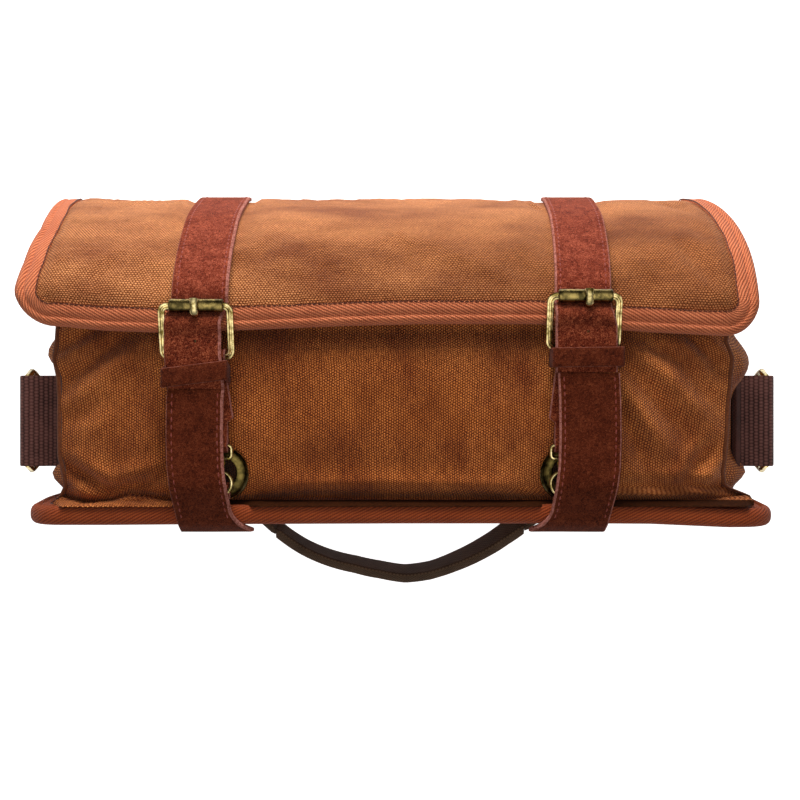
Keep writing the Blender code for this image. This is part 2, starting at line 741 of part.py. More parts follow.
def add_handle(material):
    """Make the webbing handle: two sewn ends and the loop that swings between them."""
    low, high = HANDLE_Z - HANDLE_WIDTH / 2, HANDLE_Z + HANDLE_WIDTH / 2
    add_pivot("handle", (0.0, HANDLE_PIVOT_Y, HANDLE_Z))
    radius = (HANDLE_HALF_SPAN**2 + HANDLE_SAG**2) / (2 * HANDLE_SAG)
    reach = math.asin(HANDLE_HALF_SPAN / radius)
    centre = (0.0, HANDLE_PIVOT_Y - HANDLE_SAG + radius)
    path = arc(centre, radius, -math.pi / 2 - reach, -math.pi / 2 + reach, HANDLE_STEPS)
    pairs = side_pairs(path, HANDLE_THICKNESS)
    slant = Vector((0.0, HANDLE_THICKNESS / 2 / math.cos(reach)))
    for index in (0, -1):
        middle = Vector(path[index])
        pairs[index] = (middle + slant, middle - slant)
    band("handle_loop", pairs, [(low, high)] * len(pairs), across_z, material, "handle")
    for side, sign in SIDES.items():
        rise = HANDLE_STANDOFF - GAP - HANDLE_PAD_THICKNESS / 2
        foot = HANDLE_HALF_SPAN + rise / math.tan(reach)
        seat = HANDLE_FACE_Y - GAP - HANDLE_PAD_THICKNESS / 2
        joint = HANDLE_HALF_SPAN + GAP
        path = [(sign * (foot + HANDLE_PAD_LENGTH), seat), (sign * (foot + HANDLE_PAD_THICKNESS), seat)]
        path.append((sign * joint, HANDLE_PIVOT_Y))
        pairs = side_pairs(path, HANDLE_PAD_THICKNESS)
        middle = Vector(path[-1])
        slant_end = slant * sign
        pairs[-1] = (middle - slant_end, middle + slant_end)
        pairs[1] = end_seat_pair(pairs[1], seat)
        band(side + "_handle_end", pairs, [(low, high)] * len(pairs), across_z, material)


def end_seat_pair(pair, seat):
    """Keep a sewn end's inner corner flat on the panel."""
    inner_y = seat + HANDLE_PAD_THICKNESS / 2
    return tuple(Vector((point.x, min(point.y, inner_y))) for point in pair)


def add_end_tab(side, webbing, brass):
    """Make a webbing tab on a gusset and the ring that hangs in it."""
    sign = SIDES[side]
    loop_radius = D_RING_WIRE / 2 + GAP + TAB_THICKNESS / 2
    foot_x = TAB_INNER_X[side] + TAB_THICKNESS / 2
    path = [(foot_x, TAB_Z + loop_radius + TAB_FOOT), (foot_x, TAB_Z + loop_radius + TAB_THICKNESS)]
    path.append((foot_x + TAB_THICKNESS, TAB_Z + loop_radius))
    path += arc((D_RING_X[side], TAB_Z), loop_radius, math.pi / 2, -math.pi / 2, FOLD_STEPS)
    path.append((foot_x + TAB_THICKNESS, TAB_Z - loop_radius))
    path += [(foot_x, TAB_Z - loop_radius - TAB_THICKNESS), (foot_x, TAB_Z - loop_radius - TAB_FOOT)]
    path = [(sign * x, z) for x, z in path]
    pairs = side_pairs(path, TAB_THICKNESS)
    span = (TAB_Y - TAB_WIDTH / 2, TAB_Y + TAB_WIDTH / 2)
    band(side + "_end_tab", pairs, [span] * len(pairs), across_y, webbing)
    name = side + "_d_ring"
    add_pivot(name, (sign * D_RING_X[side], TAB_Y, TAB_Z))
    points = []
    for step in range(D_RING_STEPS + 1):
        turn = math.pi * step / D_RING_STEPS
        y = TAB_Y + D_RING_HALF * math.copysign(abs(math.cos(turn)) ** D_RING_WIDE_POWER, math.cos(turn))
        z = TAB_Z - D_RING_DEPTH * abs(math.sin(turn)) ** D_RING_DEEP_POWER
        points.append(Vector((sign * D_RING_X[side], y, z)))
    points, faces = tube_mesh(points, D_RING_WIRE / 2, (1, 0, 0), D_RING_SIDES, True)
    add_solid(name, points, faces, brass, name, smooth=True)


def strap_span(side, width=STRAP_WIDTH, inward=0.0):
    """Return the low and high X of a strap that lies some way inward of the buckle's middle."""
    centre = STRAP_X[side] - SIDES[side] * inward
    return centre - width / 2, centre + width / 2


def buckle_point(side, along, off):
    """Return (y, z) in the buckle: a distance from its pivot to its roller, and one above its plane."""
    y = ROLLER_Y[side] - PIVOT_BACK + along * math.cos(BUCKLE_TILT) - off * math.sin(BUCKLE_TILT)
    z = PIVOT_Z + along * math.sin(BUCKLE_TILT) + off * math.cos(BUCKLE_TILT)
    return y, z


def add_flap_strap(side, profile, suede):
    """Make the strap that is sewn along the flap, up to the buckle's roller."""
    lift = -(GAP + STRAP_THICKNESS / 2)
    marks = [STRAP_START] + [mark for mark in profile.marks[1:-1] if mark > STRAP_START + GAP]
    path = []
    for mark in marks:
        place, normal, _ = profile.at(mark)
        there = place - normal * lift
        if there.x > ROLLER_Y[side] + ROLLER_RADIUS:
            path.append((there.x, there.y))
    joint = (ROLLER_Y[side] + GAP / 2, STRAP_MIDDLE_Z)
    path.append(joint)
    pairs = side_pairs(path, STRAP_THICKNESS)
    half = Vector((0.0, STRAP_THICKNESS / 2))
    order = 1 if pairs[-1][0].y > pairs[-1][1].y else -1
    pairs[-1] = (Vector(joint) + half * order, Vector(joint) - half * order)
    spans = []
    for y, _ in path:
        share = (y - joint[0]) / (HINGE_Y - joint[0])
        centre = STRAP_X[side] + (STRAP_TOP_X[side] - STRAP_X[side]) * share
        spans.append((centre - STRAP_WIDTH / 2, centre + STRAP_WIDTH / 2))
    band(side + "_flap_strap", pairs, spans, across_x, suede, "flap")


def keeper_y(side):
    """Return where the keeper's middle lies."""
    return ROLLER_Y[side] - PIVOT_BACK - KEEPER_BELOW_PIVOT[side]


def tail_hinge_y(side):
    """Return where the strap's hanging end begins to swing."""
    return keeper_y(side) - KEEPER_LENGTH / 2 - TAIL_HINGE_STEP


def add_buckle_strap(side, suede, pivot):
    """Make the stretch of strap that is threaded through the buckle and the keeper."""
    under = ROLLER_RADIUS + GAP + STRAP_THICKNESS / 2
    shaft = PRONG_WIRE / 2 + PRONG_PLAY + STRAP_THICKNESS / 2
    risen = buckle_point(side, BAR_SPACING * STRAP_RISEN_SHARE, shaft)
    back, up = ROLLER_Y[side] - risen[0], risen[1] - ROLLER_Z
    wrap = math.asin(under / math.hypot(back, up)) + math.atan2(up, back)
    centre = (ROLLER_Y[side], ROLLER_Z)
    start = (ROLLER_Y[side] - GAP / 2, ROLLER_Z - under)
    path = [start] + arc(centre, under, -math.pi / 2, -math.pi / 2 - wrap, 2)[1:]
    pivot_y = ROLLER_Y[side] - PIVOT_BACK
    path += [risen, (risen[0] - STRAP_THICKNESS, TAIL_Z), (pivot_y, TAIL_Z)]
    path.append((tail_hinge_y(side) + GAP / 2, TAIL_Z))
    pairs = side_pairs(path, STRAP_THICKNESS)
    half = Vector((0.0, STRAP_THICKNESS / 2))
    order = 1 if pairs[0][0].y > pairs[0][1].y else -1
    pairs[0] = (Vector(start) + half * order, Vector(start) - half * order)
    made = band(side + "_buckle_strap", pairs, [strap_span(side)] * len(pairs), across_x, suede, pivot)
    middle = STRAP_X[side]
    along = BAR_SPACING - ROLLER_RADIUS - PRONG_HOLE_LENGTH / 2
    y, z = buckle_point(side, along, 0.0)
    half_box = Vector((PRONG_HOLE_WIDTH, PRONG_HOLE_LENGTH, 4 * ROLLER_RADIUS)) / 2
    centre = Vector((middle, y, z))
    hole = add_box(side + "_prong_hole", centre - half_box, centre + half_box, suede)
    cut(made, hole)


def add_tail(side, suede):
    """Make the strap's hanging end, over the front and round the flange."""
    start_y = tail_hinge_y(side) - GAP / 2
    bead_y = HANDLE_FACE_Y + PANEL_THICKNESS / 2
    bead_z = FLANGE_TOP - PANEL_THICKNESS / 2
    bead = math.hypot(PANEL_THICKNESS / 2, PANEL_THICKNESS / 2 - TAPE_CHAMFER)
    wrap = bead + 2 * GAP + STRAP_THICKNESS / 2
    turn = arc((bead_y, bead_z), wrap, TAIL_WRAP_START, TAIL_WRAP_END, TAIL_WRAP_STEPS)
    out = TAIL_WRAP_END + math.pi / 2
    tip = (turn[-1][0] + TAIL_TIP * math.cos(out), turn[-1][1] + TAIL_TIP * math.sin(out))
    route = [(start_y, TAIL_Z), ((start_y + TAIL_DROP_Y) / 2, TAIL_Z), (TAIL_DROP_Y, TAIL_Z)]
    path = route + turn + [tip]
    pairs = side_pairs(path, STRAP_THICKNESS)
    name = side + "_tail"
    add_pivot(name, (STRAP_X[side], tail_hinge_y(side), TAIL_TOP_Z), side + "_buckle")
    spans = []
    for y, _ in path:
        share = min(max((TAIL_DROP_Y - y) / (TAIL_DROP_Y - tip[0]), 0.0), 1.0)
        spans.append(strap_span(side, STRAP_WIDTH, TAIL_DRIFT * share))
    band(name + "_strap", pairs, spans, across_x, suede, name)


def add_keeper(side, suede, pivot):
    """Make the suede keeper loop round the two straps."""
    wall, slack = KEEPER_WALL, KEEPER_SLACK
    low_x, high_x = strap_span(side, STRAP_WIDTH + 2 * slack)
    hanger_low = hanger_z(side, keeper_y(side)) - HANGER_LAYER_GAP / 2 - HANGER_THICKNESS
    if KEEPER_BELOW_PIVOT[side] - KEEPER_LENGTH / 2 < FOLD_OUTER_RADIUS:
        hanger_low = PIVOT_Z - PRONG_EYE_RADIUS - PRONG_WIRE / 2
    low_z = hanger_low - slack
    high_z = TAIL_TOP_Z + slack
    start, stop = keeper_y(side) - KEEPER_LENGTH / 2, keeper_y(side) + KEEPER_LENGTH / 2
    outline = [(low_x, low_z), (high_x, low_z), (high_x, high_z), (low_x, high_z)]
    grown = [(low_x - wall, low_z - wall), (high_x + wall, low_z - wall)]
    grown += [(high_x + wall, high_z + wall), (low_x - wall, high_z + wall)]
    rings = []
    for (in_x, in_z), (out_x, out_z) in zip(outline, grown):
        rings.append(
            [
                Vector((in_x, start, in_z)),
                Vector((out_x, start, out_z)),
                Vector((out_x, stop, out_z)),
                Vector((in_x, stop, in_z)),
            ]
        )
    points, faces = join_rings(rings, True)
    add_solid(side + "_keeper", points, faces, suede, pivot)


def hanger_z(side, y):
    """Return the middle height of the hanger strap, from the buckle's pivot to the hook's eye."""
    pivot_y = ROLLER_Y[side] - PIVOT_BACK
    share = (pivot_y - y) / (pivot_y - EYE_BAR_Y)
    return PIVOT_Z + (HOOK_Z - PIVOT_Z) * share


def add_hanger(side, suede, pivot):
    """Make the folded strap that carries the buckle at its top and the snap hook at its foot."""
    half_layer = (HANGER_LAYER_GAP + HANGER_THICKNESS) / 2
    pivot_y = ROLLER_Y[side] - PIVOT_BACK
    top_radius = FOLD_INNER_RADIUS + HANGER_THICKNESS / 2
    eye_radius = EYE_WIRE / 2 + GAP + HANGER_THICKNESS / 2
    near_top = pivot_y - top_radius - HANGER_THICKNESS / 2
    near_eye = EYE_BAR_Y + eye_radius + HANGER_THICKNESS / 2
    return_top = pivot_y - HANGER_RETURN
    return_eye = EYE_BAR_Y + HANGER_TONGUE_LENGTH - HANGER_THICKNESS
    wide = strap_span(side, HANGER_WIDTH, HANGER_TOP_INWARD)
    low_wide = strap_span(side, HANGER_WIDTH, HANGER_LOW_INWARD)
    narrow = strap_span(side, HANGER_TONGUE_WIDTH, HOOK_INWARD)
    neck = EYE_BAR_Y + HANGER_TONGUE_LENGTH
    route = [(return_top, hanger_z(side, return_top) - half_layer, wide)]
    route.append((near_top, hanger_z(side, near_top) - half_layer, wide))
    for y, z in arc((pivot_y, PIVOT_Z), top_radius, math.radians(-120), math.radians(120), FOLD_STEPS):
        route.append((y, z, wide))
    route.append((near_top, hanger_z(side, near_top) + half_layer, wide))
    route.append((neck + HANGER_THICKNESS, hanger_z(side, neck) + half_layer, low_wide))
    route.append((neck, hanger_z(side, neck) + half_layer, narrow))
    route.append((near_eye, hanger_z(side, near_eye) + half_layer, narrow))
    for y, z in arc((EYE_BAR_Y, HOOK_Z), eye_radius, math.radians(60), math.radians(300), FOLD_STEPS):
        route.append((y, z, narrow))
    route.append((near_eye, hanger_z(side, near_eye) - half_layer, narrow))
    route.append((return_eye, hanger_z(side, return_eye) - half_layer, narrow))
    pairs = side_pairs([(y, z) for y, z, _ in route], HANGER_THICKNESS)
    made = band(side + "_hanger_strap", pairs, [span for _, _, span in route], across_x, suede, pivot)
    middle = STRAP_X[side]
    reach = PRONG_EYE_RADIUS + PRONG_WIRE
    half_width = PRONG_HOLE_WIDTH / 2
    low = Vector((middle - half_width, pivot_y - reach, PIVOT_Z - 2 * FOLD_OUTER_RADIUS))
    high = Vector((middle + half_width, pivot_y + 2 * reach, PIVOT_Z + 2 * FOLD_OUTER_RADIUS))
    cut(made, add_box(side + "_prong_slot", low, high, suede))


def add_buckle(side, brass):
    """Make the buckle's frame, its roller and its prong."""
    name = side + "_buckle"
    middle = STRAP_X[side]
    add_pivot(name, (middle, ROLLER_Y[side], ROLLER_Z), "flap")
    corner = BUCKLE_CORNER
    outline = []
    half = BUCKLE_HALF_WIDTH - corner
    quarter = math.pi / 2
    for index, (x, along) in enumerate(
        ((half, BAR_SPACING - corner), (-half, BAR_SPACING - corner), (-half, corner), (half, corner))
    ):
        outline += arc((x, along), corner, quarter * index, quarter * (index + 1), 3)
    points = []
    for x, along in outline:
        y, z = buckle_point(side, along, 0.0)
        points.append(Vector((middle + x, y, z)))
    normal = (0.0, -math.sin(BUCKLE_TILT), math.cos(BUCKLE_TILT))
    points, faces = tube_mesh(points, BUCKLE_WIRE / 2, normal, BUCKLE_SIDES, True)
    add_solid(side + "_buckle_frame", points, faces, brass, name, smooth=True)

    roller = side + "_roller"
    add_pivot(roller, (middle, ROLLER_Y[side], ROLLER_Z), name)
    half_length = half - GAP
    outline = [(ROLLER_BORE_RADIUS, -half_length), (ROLLER_RADIUS, -half_length)]
    outline += [(ROLLER_RADIUS, half_length), (ROLLER_BORE_RADIUS, half_length)]
    centre = (middle, ROLLER_Y[side], ROLLER_Z)
    points, faces = turned_mesh(centre, (1, 0, 0), (0, 1, 0), outline, ROLLER_SIDES)
    add_solid(roller, points, faces, brass, roller, smooth=True)

    prong = side + "_prong"
    pivot_y = ROLLER_Y[side] - PIVOT_BACK
    add_pivot(prong, (middle, pivot_y, PIVOT_Z), name)
    eye = PRONG_EYE_RADIUS
    rest = ROLLER_RADIUS + GAP + PRONG_WIRE / 2
    route = []
    for along, off in arc((0.0, 0.0), eye, math.radians(320), math.radians(30), 8):
        route.append((along, off))
    shaft_end = BAR_SPACING - 2 * ROLLER_RADIUS - PRONG_WIRE
    route += [(eye + PRONG_WIRE, 0.0), (shaft_end, 0.0)]
    route += [(BAR_SPACING - ROLLER_RADIUS * PRONG_CREST_SHARE, rest)]
    route.append((BAR_SPACING + PRONG_OVERHANG, rest + GAP))
    points = []
    for along, off in route:
        y, z = buckle_point(side, along, off)
        points.append(Vector((middle, y, z)))
    points, faces = tube_mesh(points, PRONG_WIRE / 2, (1, 0, 0), PRONG_SIDES, False)
    add_solid(prong, points, faces, brass, prong, smooth=True)


def add_hook(side, brass):
    """Make the swivel snap hook: an eye with its collar, the hook on its shank, and the gate."""
    sign = SIDES[side]
    x = STRAP_X[side] - sign * HOOK_INWARD
    pivot = side + "_buckle"
    corner = EYE_CORNER
    half = EYE_HALF_WIDTH - corner
    quarter = math.pi / 2
    low_y = EYE_BAR_Y - EYE_LENGTH
    outline = []
    for index, (across, y) in enumerate(
        (
            (half, EYE_BAR_Y - corner),
            (-half, EYE_BAR_Y - corner),
            (-half, low_y + corner),
            (half, low_y + corner),
        )
    ):
        outline += arc((across, y), corner, quarter * index, quarter * (index + 1), 3)
    points = [Vector((x + across, y, HOOK_Z)) for across, y in outline]
    points, faces = tube_mesh(points, EYE_WIRE / 2, (0, 0, 1), HOOK_SIDES, True)
    eye = add_solid(side + "_hook_eye", points, faces, brass, pivot, smooth=True)
    collar_top = low_y + EYE_WIRE * COLLAR_SEAT_SHARE
    outline = [(COLLAR_BORE_RADIUS, 0.0), (COLLAR_RADIUS, 0.0)]
    outline += [(COLLAR_RADIUS, COLLAR_LENGTH), (COLLAR_BORE_RADIUS, COLLAR_LENGTH)]
    points, faces = turned_mesh((x, collar_top, HOOK_Z), (0, -1, 0), (1, 0, 0), outline, 12)
    collar = add_solid(side + "_collar_helper", points, faces, brass)
    outline = [(0.0, -EYE_WIRE), (COLLAR_BORE_RADIUS, -EYE_WIRE)]
    outline += [(COLLAR_BORE_RADIUS, COLLAR_LENGTH), (0.0, COLLAR_LENGTH)]
    start = Vector((x, collar_top + EYE_WIRE, HOOK_Z))
    stop = Vector((x, collar_top - COLLAR_LENGTH - EYE_WIRE, HOOK_Z))
    points, faces = tube_mesh([start, stop], COLLAR_BORE_RADIUS, (0, 0, 1), 12, False)
    bore = add_solid(side + "_collar_bore", points, faces, brass)
    union(eye, [collar])
    cut(eye, bore)

    name = side + "_hook"
    collar_end = collar_top - COLLAR_LENGTH
    add_pivot(name, (x, collar_end, HOOK_Z), pivot)
    centre_y = collar_end - GAP - HOOK_WIRE / 2 - HOOK_RADIUS
    ring = HOOK_RADIUS - HOOK_WIRE / 2
    start_turn = math.radians(90)
    end_turn = HOOK_OPENING_START + 2 * math.pi
    path = arc((0.0, 0.0), ring, start_turn, end_turn, HOOK_STEPS)
    points = [Vector((x + sign * across, centre_y + up, HOOK_Z)) for across, up in path]
    points, faces = tube_mesh(points, HOOK_WIRE / 2, (0, 0, 1), HOOK_SIDES, False)
    hook = add_solid(name + "_body", points, faces, brass, name, smooth=True)
    shank_top = low_y + EYE_WIRE / 2 + GAP
    shank = [Vector((x, shank_top, HOOK_Z)), Vector((x, centre_y + ring, HOOK_Z))]
    points, faces = tube_mesh(shank, SHANK_RADIUS, (0, 0, 1), 8, False)
    shank_solid = add_solid(side + "_shank_helper", points, faces, brass)
    head = [Vector((x, shank_top, HOOK_Z)), Vector((x, shank_top + SHANK_HEAD_LENGTH, HOOK_Z))]
    points, faces = tube_mesh(head, SHANK_HEAD_RADIUS, (0, 0, 1), 8, False)
    head_solid = add_solid(side + "_head_helper", points, faces, brass)
    knuckle_turn = HOOK_OPENING_END
    knuckle_y = centre_y + ring * math.sin(knuckle_turn)
    knuckle = Vector((x + sign * ring * math.cos(knuckle_turn), knuckle_y, HOOK_Z))
    bridge = [Vector((x, centre_y + ring, HOOK_Z)), knuckle]
    points, faces = tube_mesh(bridge, HOOK_WIRE / 2, (0, 0, 1), HOOK_SIDES, False)
    bridge_solid = add_solid(side + "_bridge_helper", points, faces, brass)
    union(hook, [shank_solid, head_solid, bridge_solid])

    gate = side + "_gate"
    add_pivot(gate, knuckle, name)
    tip_turn = HOOK_OPENING_START
    tip = Vector((sign * ring * math.cos(tip_turn), ring * math.sin(tip_turn)))
    top = Vector((knuckle.x - x, knuckle.y - centre_y))
    along = (tip - top).normalized()
    start = top + along * (HOOK_WIRE / 2 + GAP)
    stop = tip - along * (HOOK_WIRE / 2 + GAP)
    across = Vector((-along.y, along.x)) * GATE_THICKNESS / 2
    rings = []
    for end in (start, stop):
        ring_points = []
        for side_step, up in ((1, -1), (1, 1), (-1, 1), (-1, -1)):
            flat = end + across * side_step
            ring_points.append(Vector((x + flat.x, centre_y + flat.y, HOOK_Z + up * GATE_WIDTH / 2)))
        rings.append(ring_points)
    points, faces = join_rings(rings, False)
    add_solid(gate, points, faces, brass, gate)


def add_ring(side, brass, suede):
    """Make the dished ring that the hook clips to, and the suede tab that holds it."""
    name = side + "_ring"
    x = RING_X[side]
    root_y = INNER_WALL_Y + 2 * GAP
    ring_z = front_height(RING_Y) + RING_LIFT
    pivot_z = ring_z - (RING_Y - root_y) * math.tan(RING_TILT) + RING_TAB_THICKNESS * 2
    add_pivot(name, (x, root_y, pivot_z))
    up = Vector((0.0, -math.sin(RING_TILT), math.cos(RING_TILT)))
    outline = [(RING_BORE_RADIUS, -RING_THICKNESS / 2), (RING_RADIUS, RING_DISH - RING_THICKNESS / 2)]
    outline += [(RING_RADIUS, RING_DISH + RING_THICKNESS / 2), (RING_BORE_RADIUS, RING_THICKNESS / 2)]
    centre = Vector((x, RING_Y, ring_z))
    points, faces = turned_mesh(centre, up, (1, 0, 0), outline, RING_STEPS)
    add_solid(side + "_anchor_ring", points, faces, brass, name, smooth=True)
    along = Vector((math.cos(RING_TILT), math.sin(RING_TILT)))
    lift = Vector((-math.sin(RING_TILT), math.cos(RING_TILT)))
    middle = Vector((RING_Y, ring_z))
    clear = RING_THICKNESS / 2 + RING_DISH + GAP + RING_TAB_THICKNESS / 2
    chord = math.sqrt(RING_BORE_RADIUS**2 - (RING_TAB_WIDTH / 2) ** 2)
    inner = chord - GAP - RING_TAB_THICKNESS / 2
    outer = inner + RING_TAB_THICKNESS
    root = (root_y - RING_Y) / math.cos(RING_TILT) + clear * math.tan(RING_TILT) + RING_TAB_THICKNESS
    low_root = (root_y - RING_Y) / math.cos(RING_TILT) + RING_TAB_THICKNESS
    route = [(root, clear), (-outer, clear), (-inner, clear - RING_TAB_THICKNESS)]
    route += [(-inner, RING_TAB_THICKNESS - clear), (-outer, -clear), (low_root, -clear)]
    path = []
    for run, rise in route:
        there = middle + along * run + lift * rise
        path.append((there.x, there.y))
    pairs = side_pairs(path, RING_TAB_THICKNESS)
    half = RING_TAB_WIDTH / 2
    band(side + "_ring_tab", pairs, [(x - half, x + half)] * len(pairs), across_x, suede, name)


def build():
    """Clear the scene and build the roll."""
    for old in list(bpy.data.objects):
        bpy.data.objects.remove(old)
    flap_canvas = finish("tan_canvas", (0.52, 0.23, 0.09), 0.85, 0.0)
    body_canvas = finish("brown_canvas", (0.33, 0.11, 0.035), 0.88, 0.0)
    twill = finish("rust_twill_tape", (0.42, 0.11, 0.05), 0.85, 0.0)
    foam = finish("grey_foam", (0.25, 0.25, 0.25), 0.95, 0.0)
    lining = finish("dark_lining", (0.06, 0.04, 0.03), 0.8, 0.0)
    suede = finish("red_brown_suede", (0.20, 0.03, 0.02), 0.9, 0.0)
    webbing = finish("plum_webbing", (0.07, 0.03, 0.03), 0.8, 0.0)
    handle_webbing = finish("black_brown_webbing", (0.03, 0.015, 0.01), 0.8, 0.0)
    elastic = finish("black_elastic", (0.02, 0.02, 0.02), 0.8, 0.0)
    brass = finish("antique_brass", (0.25, 0.2, 0.08), 0.4, 1.0)

    shell = shell_profile()
    flap = flap_profile()
    add_pivot("flap", (0.0, HINGE_Y, HINGE_Z))
    add_canvas("shell_canvas", shell, body_canvas)
    add_layer("shell_foam", shell, FOAM_DEPTH, FOAM_THICKNESS, RAMP_END + 2 * GAP + TAPE_THICKNESS, foam)
    lining_depth = PANEL_THICKNESS - LINING_THICKNESS
    leg_radius = BOUND_CORNER_RADIUS - TAPE_LEG - TAPE_THICKNESS - 2 * GAP
    lining_inset = BOUND_CORNER_RADIUS - leg_radius * math.cos(math.pi / 4)
    add_layer("shell_lining", shell, lining_depth, LINING_THICKNESS, lining_inset, lining)
    add_tape("shell_tape", shell, twill)
    add_canvas("flap_canvas", flap, flap_canvas, "flap")
    foam_inset = RAMP_END + 2 * GAP + TAPE_THICKNESS
    add_layer("flap_foam", flap, FOAM_DEPTH, FOAM_THICKNESS, foam_inset, foam, "flap")
    add_layer("flap_lining", flap, lining_depth, LINING_THICKNESS, lining_inset, lining, "flap")
    add_tape("flap_tape", flap, twill, "flap")
    add_front(body_canvas, twill)
    add_pockets(lining, elastic)
    add_handle(handle_webbing)
    for side in SIDES:
        add_gusset(side, body_canvas)
        add_end_tab(side, webbing, brass)
        add_flap_strap(side, flap, suede)
        add_buckle(side, brass)
        add_buckle_strap(side, suede, side + "_buckle")
        add_keeper(side, suede, side + "_buckle")
        add_hanger(side, suede, side + "_buckle")
        add_hook(side, brass)
        add_tail(side, suede)
        add_ring(side, brass, suede)


build()
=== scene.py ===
"""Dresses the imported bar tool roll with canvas, twill, suede, webbing and antique brass.

The roll lies on its back. X runs along it, Y from the handle side to the hinge side, and Z up to the
front. Every piece is built in place, in metres, in the frame of the CAD model.
"""

from __future__ import annotations

import logging
import math
from collections.abc import Callable, Sequence
from dataclasses import dataclass, field
from enum import Enum
from typing import Union

import bmesh
import bpy
import numpy as np
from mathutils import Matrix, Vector, noise

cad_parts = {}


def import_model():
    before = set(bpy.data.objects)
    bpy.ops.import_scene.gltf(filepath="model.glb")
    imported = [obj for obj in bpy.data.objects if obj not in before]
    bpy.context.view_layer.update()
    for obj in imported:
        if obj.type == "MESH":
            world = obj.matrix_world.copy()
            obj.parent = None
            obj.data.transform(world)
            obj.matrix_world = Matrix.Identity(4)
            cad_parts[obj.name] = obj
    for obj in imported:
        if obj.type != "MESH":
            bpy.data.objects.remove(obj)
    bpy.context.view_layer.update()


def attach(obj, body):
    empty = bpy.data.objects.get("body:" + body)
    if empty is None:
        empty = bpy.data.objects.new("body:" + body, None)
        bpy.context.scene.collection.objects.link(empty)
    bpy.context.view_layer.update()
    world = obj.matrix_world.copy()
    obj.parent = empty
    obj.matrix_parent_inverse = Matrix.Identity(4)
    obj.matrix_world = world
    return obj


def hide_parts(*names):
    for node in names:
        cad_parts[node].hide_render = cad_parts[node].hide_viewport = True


LOG = logging.getLogger("tool_roll")
GAP = 0.0003  # the clearance between neighbours
STRAP_PRESS = 0.0022  # how far the straps press the flap in near the hinge
HINGE_Y = 0.0935
FLAP_TOP = 0.130
HANDLE_WALL_Y = -0.089
WALL_Y = -0.079  # the handle wall's inner face
Section = list[tuple[float, float]]
Paint = dict[str, bpy.types.Material]
Fed = Union[bpy.types.NodeSocket, bpy.types.Material, float, str, Sequence[float]]  # a socket or its value


class Side(Enum):
    """The two ends of the roll, with the sign of their X."""

    LEFT = -1
    RIGHT = 1

    @property
    def word(self) -> str:
        """Return the side's name as the CAD nodes spell it."""
        return self.name.lower()


# Shader building


def linear(colour: str) -> tuple[float, float, float, float]:
    """Turn an sRGB hex colour into a linear one.

    Args:
        colour: The colour as six hex digits.

    Returns:
        The linear red, green, blue and an alpha of one.
    """
    parts = [int(colour[start : start + 2], 16) / 255 for start in (0, 2, 4)]
    flat = [part / 12.92 if part <= 0.04045 else ((part + 0.055) / 1.055) ** 2.4 for part in parts]
    return flat[0], flat[1], flat[2], 1.0


def feed(tree: bpy.types.NodeTree, socket: bpy.types.NodeSocket, value: Fed) -> None:
    """Link a socket to the one that feeds it, or give it a value."""
    if isinstance(value, bpy.types.NodeSocket):
        tree.links.new(value, socket)
    else:
        socket.default_value = value


def add_node(
    tree: bpy.types.NodeTree, kind: str, inputs: dict[int | str, Fed] | None = None, **settings: object
) -> bpy.types.Node:
    """Add a node with its settings, values and links.

    Args:
        tree: The tree that gets the node.
        kind: The node's type name.
        inputs: Socket names or numbers, each with a value or with the socket that feeds it.
        settings: The node's own settings.

    Returns:
        The new node.
    """
    made = tree.nodes.new(kind)
    for key, value in settings.items():
        setattr(made, key, value)
    for key, value in (inputs or {}).items():
        feed(tree, made.inputs[key], value)
    return made


